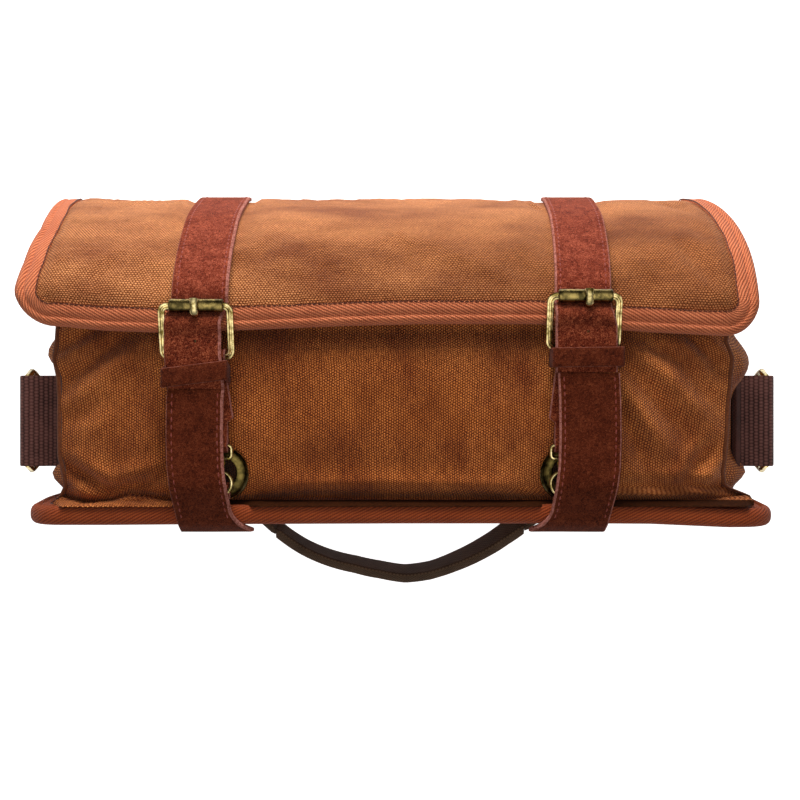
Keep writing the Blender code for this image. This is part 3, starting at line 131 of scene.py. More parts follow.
class Shader:
    """A material's node tree with short ways to do sums in it."""

    def __init__(self, name: str) -> None:
        """Start an empty Principled material with this name."""
        self.material = bpy.data.materials.new(name)
        self.material.use_nodes = True
        self.tree = self.material.node_tree
        self.surface = self.tree.nodes["Principled BSDF"]

    def sum(self, operation: str, *values: Fed) -> bpy.types.NodeSocket:
        """Return the result of a Math node on these values or sockets."""
        made = add_node(self.tree, "ShaderNodeMath", dict(enumerate(values)), operation=operation)
        return made.outputs[0]

    def times(self, first: Fed, second: Fed) -> bpy.types.NodeSocket:
        """Return a product."""
        return self.sum("MULTIPLY", first, second)

    def blend(self, value: Fed, factor: Fed, added: Fed) -> bpy.types.NodeSocket:
        """Return value times factor, plus what is added."""
        return self.sum("MULTIPLY_ADD", value, factor, added)

    def ridge(self, place: Fed) -> bpy.types.NodeSocket:
        """Return rounded ridges, one for each whole number that the place passes."""
        return self.sum("ABSOLUTE", self.sum("SINE", self.times(place, math.pi)))

    def vector(self, operation: str, first: Fed, second: Fed = (0.0, 0.0, 0.0)) -> bpy.types.Node:
        """Return a Vector Math node on one or two vectors."""
        return add_node(self.tree, "ShaderNodeVectorMath", {0: first, 1: second}, operation=operation)

    def cloth(self) -> tuple[bpy.types.NodeSocket, bpy.types.NodeSocket]:
        """Return the piece's own U and V, which are metres along its surface."""
        place = add_node(self.tree, "ShaderNodeUVMap", uv_map="cloth")
        split = add_node(self.tree, "ShaderNodeSeparateXYZ", {0: place.outputs[0]})
        return split.outputs[0], split.outputs[1]

    def at(self, x: Fed, y: Fed = 0.0, z: Fed = 0.0) -> bpy.types.NodeSocket:
        """Return a vector made of three values or sockets."""
        return add_node(self.tree, "ShaderNodeCombineXYZ", {0: x, 1: y, 2: z}).outputs[0]

    def place(self) -> bpy.types.NodeSocket:
        """Return the point's place in metres."""
        return add_node(self.tree, "ShaderNodeTexCoord").outputs["Object"]

    def noise(self, vector: Fed, scale: float, detail: float = 3.0, roughness: float = 0.55) -> bpy.types.NodeSocket:
        """Return smooth noise whose grains are about one over scale metres wide."""
        values = {"Vector": vector, "Scale": scale, "Detail": detail, "Roughness": roughness}
        return add_node(self.tree, "ShaderNodeTexNoise", values).outputs[0]

    def ramp(self, factor: Fed, *stops: tuple[float, str]) -> bpy.types.NodeSocket:
        """Return a colour looked up between the stops."""
        made = add_node(self.tree, "ShaderNodeValToRGB", {0: factor})
        elements = made.color_ramp.elements
        while len(elements) < len(stops):
            elements.new(0.5)
        for element, (place, colour) in zip(elements, stops):
            element.position = place
            element.color = linear(colour)
        return made.outputs[0]

    def mix(self, factor: Fed, first: Fed, second: Fed, blend: str = "MIX") -> bpy.types.NodeSocket:
        """Return two colours mixed by a factor."""
        values = {0: factor, 6: first, 7: second}
        return add_node(self.tree, "ShaderNodeMix", values, data_type="RGBA", blend_type=blend).outputs[2]

    def finish(
        self, colour: Fed, height: bpy.types.NodeSocket | None, depth: float, **sockets: Fed
    ) -> bpy.types.Material:
        """Wire up colour and bump, set the other sockets, and return the material.

        Args:
            colour: The base colour's socket or value.
            height: The bump's height socket, or None.
            depth: How deep the bump is, in metres.
            sockets: Other Principled inputs, with underscores for spaces.

        Returns:
            The finished material.
        """
        given = {"Base Color": colour}
        given.update({key.replace("_", " "): value for key, value in sockets.items()})
        if height is not None:
            bump = add_node(self.tree, "ShaderNodeBump", {"Strength": 1.0, "Distance": depth, "Height": height})
            given["Normal"] = bump.outputs[0]
        for key, value in given.items():
            feed(self.tree, self.surface.inputs[key], value)
        return self.material


# Finishes


@dataclass(frozen=True)
class PaintedShadeOval:
    """An oval of painted shade, where the cloth's colour is made darker: a painted shadow round a ring's bore, or
    painted shade where the roll gets less light.
    """

    x: float
    y: float
    reach_x: float
    reach_y: float
    core: float = 0.72
    shade: str = "505050"


@dataclass(frozen=True)
class Canvas:
    """Waxed cotton duck: bright thread beads over dark gaps, with darker waxy patches, a faint bloom and ovals of
    painted shade.
    """

    name: str
    gap: str
    thread: str
    wax: str
    warp_pitch: float
    weft_pitch: float
    patch_wide: float
    patch_long: float
    slub_u: float
    slub_v: float
    painted_shade_ovals: Sequence[PaintedShadeOval]
    in_rows: bool = False

    def build(self) -> bpy.types.Material:
        """Return the material. Its thread pitches are those counted in the weave."""
        s = Shader(self.name)
        u, v = s.cloth()
        if self.in_rows:
            u, v = v, u
        sway = s.noise(s.at(u, v), 180.0, 2.0)
        across = s.sum("DIVIDE", s.blend(sway, self.warp_pitch * 1.2, u), self.warp_pitch)
        odd = s.sum("FLOORED_MODULO", s.sum("FLOOR", across), 2.0)
        along_place = s.blend(sway, self.weft_pitch * 0.9, v)
        along = s.blend(odd, 0.5, s.sum("DIVIDE", along_place, self.weft_pitch))
        bead = s.times(s.sum("POWER", s.ridge(across), 0.9), s.ridge(along))
        slub = s.noise(s.at(s.times(u, self.slub_u), s.times(v, self.slub_v)), 1.0, 3.0, 0.6)
        tone = s.blend(s.sum("SUBTRACT", slub, 0.5), 0.7, s.times(bead, 0.95))
        colour = s.ramp(tone, (0.08, self.gap), (0.85, self.thread))
        stretched = s.at(s.times(u, self.patch_wide), s.times(v, self.patch_long))
        patch = s.ramp(s.noise(stretched, 1.0, 5.0, 0.62), (0.40, "000000"), (0.66, "FFFFFF"))
        colour = s.mix(s.times(patch, 0.7), colour, linear(self.wax), "MULTIPLY")
        # Each oval multiplies the colour darker towards its core: painted shade and painted shadow.
        for painted_oval in self.painted_shade_ovals:
            offset = s.vector("SUBTRACT", s.place(), (painted_oval.x, painted_oval.y, 0.0)).outputs[0]
            flat = s.vector("MULTIPLY", offset, (1 / painted_oval.reach_x, 1 / painted_oval.reach_y, 0.0)).outputs[0]
            mark = s.ramp(s.vector("LENGTH", flat).outputs["Value"], (painted_oval.core, painted_oval.shade), (1.0, "FFFFFF"))
            colour = s.mix(1.0, colour, mark, "MULTIPLY")
        rough = s.blend(slub, 0.12, 0.72)
        return s.finish(colour, bead, 0.0004, Roughness=rough, Sheen_Weight=0.05, Specular_IOR_Level=0.25)


@dataclass(frozen=True)
class Twill:
    """Cotton twill tape: fine slanting ribs, softly brushed."""

    name: str
    gap: str
    thread: str
    pitch: float = 0.0015
    lean: float = math.radians(27)

    def build(self) -> bpy.types.Material:
        """Return the material. The ribs stand 1.5 mm apart and lean 27 degrees from the tape's length."""
        s = Shader(self.name)
        u, v = s.cloth()
        sway = s.noise(s.at(u, v), 260.0, 2.0)
        part = s.times(v, math.sin(self.lean))
        slant = s.blend(sway, 0.5, s.sum("DIVIDE", s.blend(u, math.cos(self.lean), part), self.pitch))
        cross = s.ridge(s.sum("DIVIDE", v, 0.0011))
        bead = s.times(s.sum("POWER", s.ridge(slant), 0.7), s.blend(cross, 0.35, 0.65))
        fade = s.noise(s.place(), 45.0, 4.0, 0.6)
        tone = s.blend(s.sum("SUBTRACT", fade, 0.5), 0.6, bead)
        colour = s.ramp(tone, (0.15, self.gap), (0.95, self.thread))
        return s.finish(colour, bead, 0.0005, Roughness=0.82, Sheen_Weight=0.08, Specular_IOR_Level=0.2)


@dataclass(frozen=True)
class Suede:
    """Split leather with a brushed nap: mottled and dull, with bright curled fibres over a dark ground."""

    name: str
    flat: str
    nap: str
    bright: str

    def build(self) -> bpy.types.Material:
        """Return the material. The curls of nap are about 1 mm wide, as seen on the straps."""
        s = Shader(self.name)
        values = {"Vector": s.place(), "Scale": 950.0, "Detail": 3.0, "Roughness": 0.7, "Distortion": 1.6}
        bend = add_node(s.tree, "ShaderNodeTexNoise", values).outputs[0]
        fine = s.noise(s.place(), 2400.0, 2.0, 0.7)
        cloud = s.noise(s.place(), 150.0, 3.0, 0.6)
        curl = s.blend(fine, 0.25, s.times(bend, 0.75))
        mixed = s.blend(s.sum("SUBTRACT", cloud, 0.5), 0.2, curl)
        colour = s.ramp(mixed, (0.38, self.flat), (0.50, self.nap), (0.63, self.bright))
        shine = {"Sheen_Weight": 0.04, "Sheen_Roughness": 0.5, "Specular_IOR_Level": 0.08}
        return s.finish(colour, curl, 0.0006, Roughness=0.92, **shine)


@dataclass(frozen=True)
class CutEdge:
    """The raw cut edge of suede: paler, fuzzy and chalky."""

    name: str
    low: str
    high: str

    def build(self) -> bpy.types.Material:
        """Return the material."""
        s = Shader(self.name)
        fuzz = s.noise(s.place(), 900.0, 3.0, 0.7)
        colour = s.ramp(fuzz, (0.35, self.low), (0.65, self.high))
        return s.finish(colour, fuzz, 0.00025, Roughness=0.95, Specular_IOR_Level=0.1)


@dataclass(frozen=True)
class Webbing:
    """Woven cotton webbing: ribs along its length with small cross beads, matt."""

    name: str
    gap: str
    thread: str
    rib_pitch: float
    bead_pitch: float
    ribs_along_v: bool = True

    def build(self) -> bpy.types.Material:
        """Return the material. The ribs are as far apart as the webbing's own cords."""
        s = Shader(self.name)
        u, v = s.cloth()
        if not self.ribs_along_v:
            u, v = v, u
        sway = s.noise(s.at(u, v), 300.0, 2.0)
        across = s.blend(sway, 0.3, s.sum("DIVIDE", u, self.rib_pitch))
        odd = s.sum("FLOORED_MODULO", s.sum("FLOOR", across), 2.0)
        along = s.blend(odd, 0.5, s.sum("DIVIDE", v, self.bead_pitch))
        height = s.times(s.sum("POWER", s.ridge(across), 0.6), s.blend(s.ridge(along), 0.65, 0.35))
        fade = s.noise(s.place(), 70.0, 3.0, 0.6)
        colour = s.ramp(s.blend(fade, 0.5, s.times(height, 0.65)), (0.25, self.gap), (0.9, self.thread))
        return s.finish(colour, height, 0.0004, Roughness=0.8, Sheen_Weight=0.08, Specular_IOR_Level=0.2)


@dataclass(frozen=True)
class Brass:
    """Brass plate, antiqued and lacquered: olive in the hollows, rubbed to pale yellow on the highs."""

    name: str
    dark: str
    rubbed: str
    rough: float

    def build(self) -> bpy.types.Material:
        """Return the material. The stain's clouds are about 3 mm across."""
        s = Shader(self.name)
        cloud = s.noise(s.place(), 240.0, 4.0, 0.6)
        fine = s.noise(s.place(), 1800.0, 2.0, 0.6)
        colour = s.ramp(cloud, (0.38, self.dark), (0.62, self.rubbed))
        rough = s.blend(cloud, 0.25, self.rough - 0.1)
        return s.finish(colour, fine, 0.00003, Metallic=1.0, Roughness=rough)


@dataclass(frozen=True)
class Plain:
    """A dyed thread, lining or elastic: one colour broken by fine yarn grain."""

    name: str
    low: str
    high: str
    grain: float
    rough: float = 0.8

    def build(self) -> bpy.types.Material:
        """Return the material."""
        s = Shader(self.name)
        yarn = s.noise(s.place(), self.grain, 3.0, 0.65)
        colour = s.ramp(yarn, (0.35, self.low), (0.65, self.high))
        return s.finish(colour, yarn, 0.0001, Roughness=self.rough, Sheen_Weight=0.15, Specular_IOR_Level=0.25)


def make_paint(painted_shade_ovals: Sequence[PaintedShadeOval]) -> Paint:
    """Build every finish of the roll.

    Args:
        painted_shade_ovals: The ovals of painted shadow and painted shade on the brown canvas.

    Returns:
        The materials by short name.
    """
    # Painted shade on the tan flap: a wide oval darkens its middle and low part, a small one its right end; the hinge
    # side and the left end keep the full colour.
    flap_painted_shades = (PaintedShadeOval(0.045, 0.046, 0.19, 0.040, 0.25, "D8D0C4"), PaintedShadeOval(0.15, 0.05, 0.07, 0.05, 0.2, "E6DCD0"))
    finishes = {
        "tan": Canvas(
            "waxed_duck_tan", "7C3E16", "F0A268", "8E6040", 0.00116, 0.0016, 26.0, 12.0, 560.0, 420.0, flap_painted_shades, True
        ),
        "brown": Canvas(
            "waxed_duck_brown", "6C2C0C", "EE9450", "8E5E40", 0.0013, 0.00145, 34.0, 16.0, 620.0, 170.0, tuple(painted_shade_ovals)
        ),
        "twill": Twill("cotton_twill_rust", "964024", "DC8258"),
        # The same twill painted darker for the shell's tape: painted shade on the lower band.
        "shaded_twill": Twill("cotton_twill_painted_shade", "702A12", "A24C26"),
        # One leather in three tones: the flap's strap is the lit copy, and the two darker copies paint shade on the
        # pieces lower on the roll.
        "suede": Suede("brushed_suede_oxblood", "44140C", "76301E", "B05C42"),
        "shaded_suede": Suede("brushed_suede_painted_shade", "300F08", "6C2A18", "B4603F"),
        "deep_shaded_suede": Suede("brushed_suede_painted_deep_shade", "2E1008", "572210", "7A3C24"),
        "edge": CutEdge("cut_suede_edge", "6E3A2C", "B4766A"),
        # A darker copy of the cut edge for the keeper: painted shade.
        "shaded_edge": CutEdge("cut_suede_edge_painted_shade", "50261A", "8A5244"),
        "webbing": Webbing("cotton_webbing_plum", "1A0E0C", "80544C", 0.0026, 0.0018, False),
        "handle": Webbing("cotton_webbing_black_brown", "1A1008", "725A46", 0.0018, 0.0020),
        "brass": Brass("antiqued_brass", "6E5E2C", "E0CC92", 0.2),
        # Darker copy of the brass for the roller: painted shade.
        "shaded_roller_brass": Brass("brass_painted_shade_on_roller", "3E361C", "94804A", 0.24),
        # Darker copy of the brass for the ring's dish: painted shade in the bowl.
        "dish_shade_brass": Brass("brass_painted_dish_shade", "3C341A", "766636", 0.3),
        "lining": Plain("woven_lining_brown", "3A2A20", "4C382C", 1600.0),
        "elastic": Plain("woven_elastic_black", "141414", "2C2A28", 1400.0),
        "dark_thread": Plain("sewing_thread_brown", "3E1A0C", "5C2A14", 2200.0, 0.6),
        "red_thread": Plain("sewing_thread_red", "64201A", "A04C3E", 2200.0, 0.6),
        # Near-black canvas for the strip turned over the flange: painted shadow in the crease.
        "crease": CutEdge("canvas_painted_crease_shadow", "1C0C05", "42210F"),
        "shadow": Plain("woven_edge_dark", "4A2412", "7E4424", 1600.0),
    }
    return {key: finish.build() for key, finish in finishes.items()}


# Mesh building


@dataclass
class Lattice:
    """A grid of points that becomes a piece's skin, with its own U and V in metres."""

    grid: np.ndarray
    us: np.ndarray
    vs: np.ndarray
    closed_rows: bool = False
    closed_columns: bool = False
    caps: bool = True
    slots: Callable[[int, int], int] | None = None
    cap_slot: int = 0

    def build(self, name: str, materials: Sequence[bpy.types.Material], sharp: float = 50.0) -> bpy.types.Object:
        """Make the mesh object.

        Args:
            name: The piece's name.
            materials: Its materials.
            sharp: The angle in degrees past which an edge isn't smoothed.

        Returns:
            The new object, linked to the scene.
        """
        rows, columns = self.grid.shape[:2]
        us, vs = self.us, self.vs
        faces: list[tuple[int, ...]] = []
        uvs: list[tuple[float, float]] = []
        slots: list[int] = []
        for row in range(rows if self.closed_rows else rows - 1):
            base, high = row * columns, (row + 1) % rows * columns
            for column in range(columns if self.closed_columns else columns - 1):
                right = (column + 1) % columns
                faces.append((base + column, base + right, high + right, high + column))
                uvs += [(us[column + a], vs[row + b]) for a, b in ((0, 0), (1, 0), (1, 1), (0, 1))]
                slots.append(self.slots(row, column) if self.slots else 0)
        if self.closed_columns and not self.closed_rows and self.caps:
            for row in (0, rows - 1):
                for step in range(columns // 2 - 1):
                    last = columns - 1 - step
                    corners = (step, step + 1, last - 1, last)
                    faces.append(tuple(row * columns + corner for corner in corners))
                    uvs += [(us[corner], vs[row]) for corner in corners]
                    slots.append(self.cap_slot)
        mesh = bpy.data.meshes.new(name)
        mesh.from_pydata(self.grid.reshape(-1, 3).tolist(), [], faces)
        layer = mesh.uv_layers.new(name="cloth")
        layer.data.foreach_set("uv", np.array(uvs, dtype=np.float32).ravel())
        for material in materials:
            mesh.materials.append(material)
        mesh.polygons.foreach_set("material_index", slots)
        turn_outwards(mesh)
        mesh.shade_smooth()
        mesh.set_sharp_from_angle(angle=math.radians(sharp))
        return new_object(name, mesh)


def new_object(name: str, data: bpy.types.ID) -> bpy.types.Object:
    """Return a new object that shows this data, linked to the scene."""
    made = bpy.data.objects.new(name, data)
    bpy.context.scene.collection.objects.link(made)
    return made


def turn_outwards(mesh: bpy.types.Mesh, close_ends: bool = False) -> None:
    """Turn a mesh's faces outwards, after its open ends are closed with flat faces if asked."""
    work = bmesh.new()
    work.from_mesh(mesh)
    if close_ends:
        bmesh.ops.holes_fill(work, edges=[edge for edge in work.edges if edge.is_boundary], sides=0)
    bmesh.ops.recalc_face_normals(work, faces=work.faces)
    work.to_mesh(mesh)
    work.free()


def settle(piece: bpy.types.Object, body: str, replaced: Sequence[str] = ()) -> None:
    """Hand a finished piece to the frame.

    Args:
        piece: The piece.
        body: The CAD body that it rides on.
        replaced: The CAD nodes that it stands for.
    """
    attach(piece, body)
    if replaced:
        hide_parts(*replaced)
    LOG.info("%s rides on %s, %d faces", piece.name, body, len(piece.data.polygons))


def as_mesh(piece: bpy.types.Object) -> None:
    """Apply a piece's modifiers by swapping in its evaluated mesh."""
    graph = bpy.context.evaluated_depsgraph_get()
    baked = bpy.data.meshes.new_from_object(piece.evaluated_get(graph), depsgraph=graph)
    piece.modifiers.clear()
    old = piece.data
    piece.data = baked
    baked.name = piece.name
    if old.users == 0:
        bpy.data.meshes.remove(old)


def run_lengths(points: np.ndarray) -> np.ndarray:
    """Return the distance along a row of points."""
    steps = np.linalg.norm(np.diff(points, axis=0), axis=1)
    return np.concatenate([[0.0], np.cumsum(steps)])


def round_lengths(section: Section) -> np.ndarray:
    """Return the distance round a closed section, back to its start."""
    return run_lengths(np.array([*section, section[0]]))


def directions(points: np.ndarray, marks: np.ndarray | None = None) -> np.ndarray:
    """Return a polyline's unit direction at each point, by its marks if they are given."""
    slope = np.gradient(points, axis=0) if marks is None else np.gradient(points, marks, axis=0)
    return slope / np.linalg.norm(slope, axis=1)[:, None]


def noise_at(x: np.ndarray, y: np.ndarray, seed: float) -> np.ndarray:
    """Return soft noise at each pair of places."""
    flat = [noise.noise(Vector((a, b, seed))) for a, b in zip(x.ravel(), y.ravel())]
    return np.array(flat).reshape(x.shape)


def level_spans(low: float, high: float, count: int) -> np.ndarray:
    """Return the same low and high coordinate for each point of a strip."""
    return np.tile([low, high], (count, 1))


def resample(points: np.ndarray, step: float) -> np.ndarray:
    """Return points spaced evenly along a polyline, rounded by a cubic through its corners.

    Args:
        points: The polyline, one point a row.
        step: The wanted spacing in metres.

    Returns:
        The new points, the ends among them.
    """
    points = np.asarray(points, dtype=float)
    marks = run_lengths(points)
    count = max(int(math.ceil(marks[-1] / step)), 2)
    wanted = np.linspace(0.0, marks[-1], count + 1)
    slopes = np.gradient(points, marks, axis=0)
    index = np.clip(np.searchsorted(marks, wanted, side="right") - 1, 0, len(points) - 2)
    width = (marks[index + 1] - marks[index])[:, None]
    t = (wanted - marks[index])[:, None] / width
    first, last = points[index], points[index + 1]
    leave, arrive = slopes[index] * width, slopes[index + 1] * width
    return (
        (2 * t**3 - 3 * t**2 + 1) * first
        + (t**3 - 2 * t**2 + t) * leave
        + (3 * t**2 - 2 * t**3) * last
        + (t**3 - t**2) * arrive
    )


def round_corners(points: np.ndarray, passes: int = 2) -> np.ndarray:
    """Cut a polyline's corners so that it turns softly, and keep its ends.

    Args:
        points: The polyline.
        passes: How often each corner is cut.

    Returns:
        The rounded polyline.
    """
    points = np.asarray(points, dtype=float)
    for _ in range(passes):
        low = points[:-1] * 0.75 + points[1:] * 0.25
        high = points[:-1] * 0.25 + points[1:] * 0.75
        inner = np.stack([low, high], axis=1).reshape(-1, points.shape[1])
        points = np.vstack([points[:1], inner[1:-1], points[-1:]])
    return points


def arc(centre: tuple[float, float], radius: float, start: float, end: float, steps: int) -> list[tuple[float, float]]:
    """Return points on an arc between two angles in degrees."""
    turns = np.radians(np.linspace(start, end, steps + 1))
    return [(centre[0] + radius * math.cos(a), centre[1] + radius * math.sin(a)) for a in turns]


def rounded_loop(half: float, low: float, high: float, corner: float, steps: int) -> Section:
    """Return a rounded rectangle as wide as two halves, from its high right corner round."""
    side = half - corner
    corners = ((side, high - corner), (-side, high - corner), (-side, low + corner), (side, low + corner))
    loop: Section = []
    for turn, centre in enumerate(corners):
        loop += arc(centre, corner, 90 * turn, 90 * turn + 90, steps)
    return loop


def smooth_step(share: np.ndarray) -> np.ndarray:
    """Return shares from 0 to 1 eased at both ends."""
    held = np.clip(share, 0.0, 1.0)
    return held * held * (3 - 2 * held)


def two_faced(top: np.ndarray, low: np.ndarray, across: np.ndarray, along: np.ndarray, turn: float = 1.0) -> Lattice:
    """Return a cloth with an outer and an inner face.

    Args:
        top: The outer face's points.
        low: The inner face's points.
        across: The outer face's U, one for each column.
        along: The V of each row.
        turn: The U at which the inner face starts.

    Returns:
        The cloth's lattice.
    """
    us = np.concatenate([across, turn - across[::-1], [turn - across[0] + 0.001]])
    return Lattice(np.concatenate([top, low[:, ::-1]], axis=1), us, along, closed_columns=True)


def ribbon(
    path: np.ndarray, spans: np.ndarray, thickness: float, wide_axis: int, edge: float | Sequence[float] = 0.0005,
    columns: int = 14, ripple: Callable[[np.ndarray, np.ndarray], np.ndarray] | None = None,
) -> Lattice:
    """Return a strap: a flat strip with softly rounded edges along a path.

    Args:
        path: The strip's middle in side view, one pair a row.
        spans: Its low and high coordinate along the wide axis at each point.
        thickness: Its thickness.
        wide_axis: 0, 1 or 2, the axis that its width lies along.
        edge: How far in from each side the cut edge shows, or from the low and the high side.
        columns: How many steps lie across it.
        ripple: A height in metres for each (across, along) pair, added on both faces.

    Returns:
        The strip's lattice, with slot 1 on its cut edges.
    """
    along = run_lengths(path)
    slope = directions(path, along)
    out = np.stack([-slope[:, 1], slope[:, 0]], axis=1)
    width = float(np.mean(spans[:, 1] - spans[:, 0]))
    near, far = np.broadcast_to(np.asarray(edge, dtype=float), (2,)) / width
    inner = np.linspace(near, 1 - far, columns + 1)[1:-1]
    shares = np.concatenate([[0.0, near * 0.4, near], inner, [1 - far, 1 - far * 0.4, 1.0]])
    heights = np.full(len(shares), 0.5)
    heights[[0, -1]] = 0.28
    heights[[1, -2]] = 0.43
    count = len(shares)
    grid = np.zeros((len(path), count * 2, 3))
    others = [axis for axis in range(3) if axis != wide_axis]
    wave = ripple(*np.meshgrid(shares, along)) if ripple else np.zeros((len(path), count))
    for column in range(2 * count):
        index, sign = (column, 1.0) if column < count else (2 * count - 1 - column, -1.0)
        lift = sign * heights[index] * thickness + wave[:, index]
        grid[:, column, wide_axis] = spans[:, 0] + (spans[:, 1] - spans[:, 0]) * shares[index]
        grid[:, column, others] = path + out * lift[:, None]
    across = shares * width
    us = np.concatenate([across, 2 * width + 0.01 - across[::-1], [2 * width + 0.01]])

    def slots(_row: int, column: int) -> int:
        """Return 1 on the cut edges."""
        place = column % count
        return 1 if place < 2 or place > count - 4 else 0

    return Lattice(grid, us, along, closed_columns=True, slots=slots, cap_slot=1)


def sweep(
    path: np.ndarray, normal: Sequence[float], section: Section, closed: bool = False, size: np.ndarray | None = None
) -> Lattice:
    """Return a section carried along a flat path.

    Args:
        path: The path's points.
        normal: The normal of the path's plane.
        section: Offsets (across in the plane, along the normal).
        closed: Whether the path is a loop.
        size: How large the section is at each point, if it changes.

    Returns:
        The swept lattice.
    """
    path = np.asarray(path, dtype=float)
    flat = np.asarray(normal, dtype=float) / np.linalg.norm(normal)
    along = directions(np.vstack([path[-1:], path, path[:1]]))[1:-1] if closed else directions(path)
    across = np.cross(along, flat)
    scale = np.ones(len(path)) if size is None else size
    grid = np.zeros((len(path), len(section), 3))
    for column, (wide, high) in enumerate(section):
        grid[:, column] = path + (across * wide + flat * high) * scale[:, None]
    marks = run_lengths(np.vstack([path, path[:1]]) if closed else path)
    return Lattice(grid, round_lengths(section), marks, closed_rows=closed, closed_columns=True)


def circle_section(radius: float, steps: int) -> Section:
    """Return a round wire's section."""
    return arc((0.0, 0.0), radius, 0.0, 360.0, steps)[:-1]


def turned(
    centre: Sequence[float], axis: Sequence[float], across: Sequence[float], outline: Section, steps: int
) -> Lattice:
    """Return a closed outline of (radius, height) turned about an axis."""
    up = np.asarray(axis, dtype=float) / np.linalg.norm(axis)
    side = np.asarray(across, dtype=float) / np.linalg.norm(across)
    third = np.cross(up, side)
    turns = 2 * math.pi * np.arange(steps) / steps
    out = np.cos(turns)[:, None] * side + np.sin(turns)[:, None] * third
    grid = np.stack([np.asarray(centre) + out * radius + up * height for radius, height in outline], axis=1)
    marks = np.linspace(0.0, 2 * math.pi * max(radius for radius, _ in outline), steps + 1)
    return Lattice(grid, round_lengths(outline), marks, closed_rows=True, closed_columns=True)


# Stitches


class StitchTree:
    """A Geometry Nodes tree that sews thread stitches along a line of points."""

    def __init__(self) -> None:
        """Build the tree once. Its inputs are the stitch's pitch, length, width and material."""
        self.tree = bpy.data.node_groups.new("sewn_stitches", "GeometryNodeTree")
        face = self.tree.interface
        face.new_socket("Geometry", in_out="INPUT", socket_type="NodeSocketGeometry")
        self.keys = {}
        for name, start in (("Pitch", 0.003), ("Length", 0.0024), ("Width", 0.0006)):
            made = face.new_socket(name, in_out="INPUT", socket_type="NodeSocketFloat")
            made.default_value = start
            self.keys[name] = made.identifier
        self.keys["Thread"] = face.new_socket("Thread", in_out="INPUT", socket_type="NodeSocketMaterial").identifier
        face.new_socket("Geometry", in_out="OUTPUT", socket_type="NodeSocketGeometry")
        t = self.tree
        given = add_node(t, "NodeGroupInput")
        line = add_node(t, "GeometryNodeMeshToCurve", {0: given.outputs["Geometry"]})
        pitch, length, width = (given.outputs[name] for name in ("Pitch", "Length", "Width"))
        spaced = add_node(t, "GeometryNodeResampleCurve", {"Curve": line.outputs[0], "Length": pitch}, mode="LENGTH")
        size = add_node(t, "ShaderNodeCombineXYZ", {0: width, 1: width, 2: length})
        bead = add_node(t, "GeometryNodeMeshUVSphere", {"Segments": 6, "Rings": 4, "Radius": 0.5})
        tangent = add_node(t, "GeometryNodeInputTangent")
        turn = add_node(t, "FunctionNodeAlignRotationToVector", {"Vector": tangent.outputs[0]}, axis="Z")
        fed = zip(("Points", "Instance", "Rotation", "Scale"), (spaced, bead, turn, size))
        put = add_node(t, "GeometryNodeInstanceOnPoints", {key: node.outputs[0] for key, node in fed})
        real = add_node(t, "GeometryNodeRealizeInstances", {0: put.outputs[0]})
        thread = given.outputs["Thread"]
        dyed = add_node(t, "GeometryNodeSetMaterial", {"Geometry": real.outputs[0], "Material": thread})
        add_node(t, "NodeGroupOutput", {0: dyed.outputs[0]})

    def sew(
        self, name: str, lines: Sequence[np.ndarray], thread: bpy.types.Material,
        pitch: float, length: float, width: float,
    ) -> bpy.types.Object:
        """Sew stitches along some lines.

        Args:
            name: The piece's name.
            lines: Each line's points.
            thread: The thread's material.
            pitch: From one stitch to the next.
            length: A stitch's length.
            width: A stitch's width.

        Returns:
            The stitches as one plain mesh.
        """
        points: list[list[float]] = []
        edges: list[tuple[int, int]] = []
        for line in lines:
            start = len(points)
            points += np.asarray(line).tolist()
            edges += [(start + step, start + step + 1) for step in range(len(line) - 1)]
        mesh = bpy.data.meshes.new(name)
        mesh.from_pydata(points, edges, [])
        made = new_object(name, mesh)
        sewn = made.modifiers.new("Stitches", "NODES")
        sewn.node_group = self.tree
        for key, value in (("Pitch", pitch), ("Length", length), ("Width", width), ("Thread", thread)):
            sewn[self.keys[key]] = value
        as_mesh(made)
        made.data.shade_smooth()
        return made


# Panels


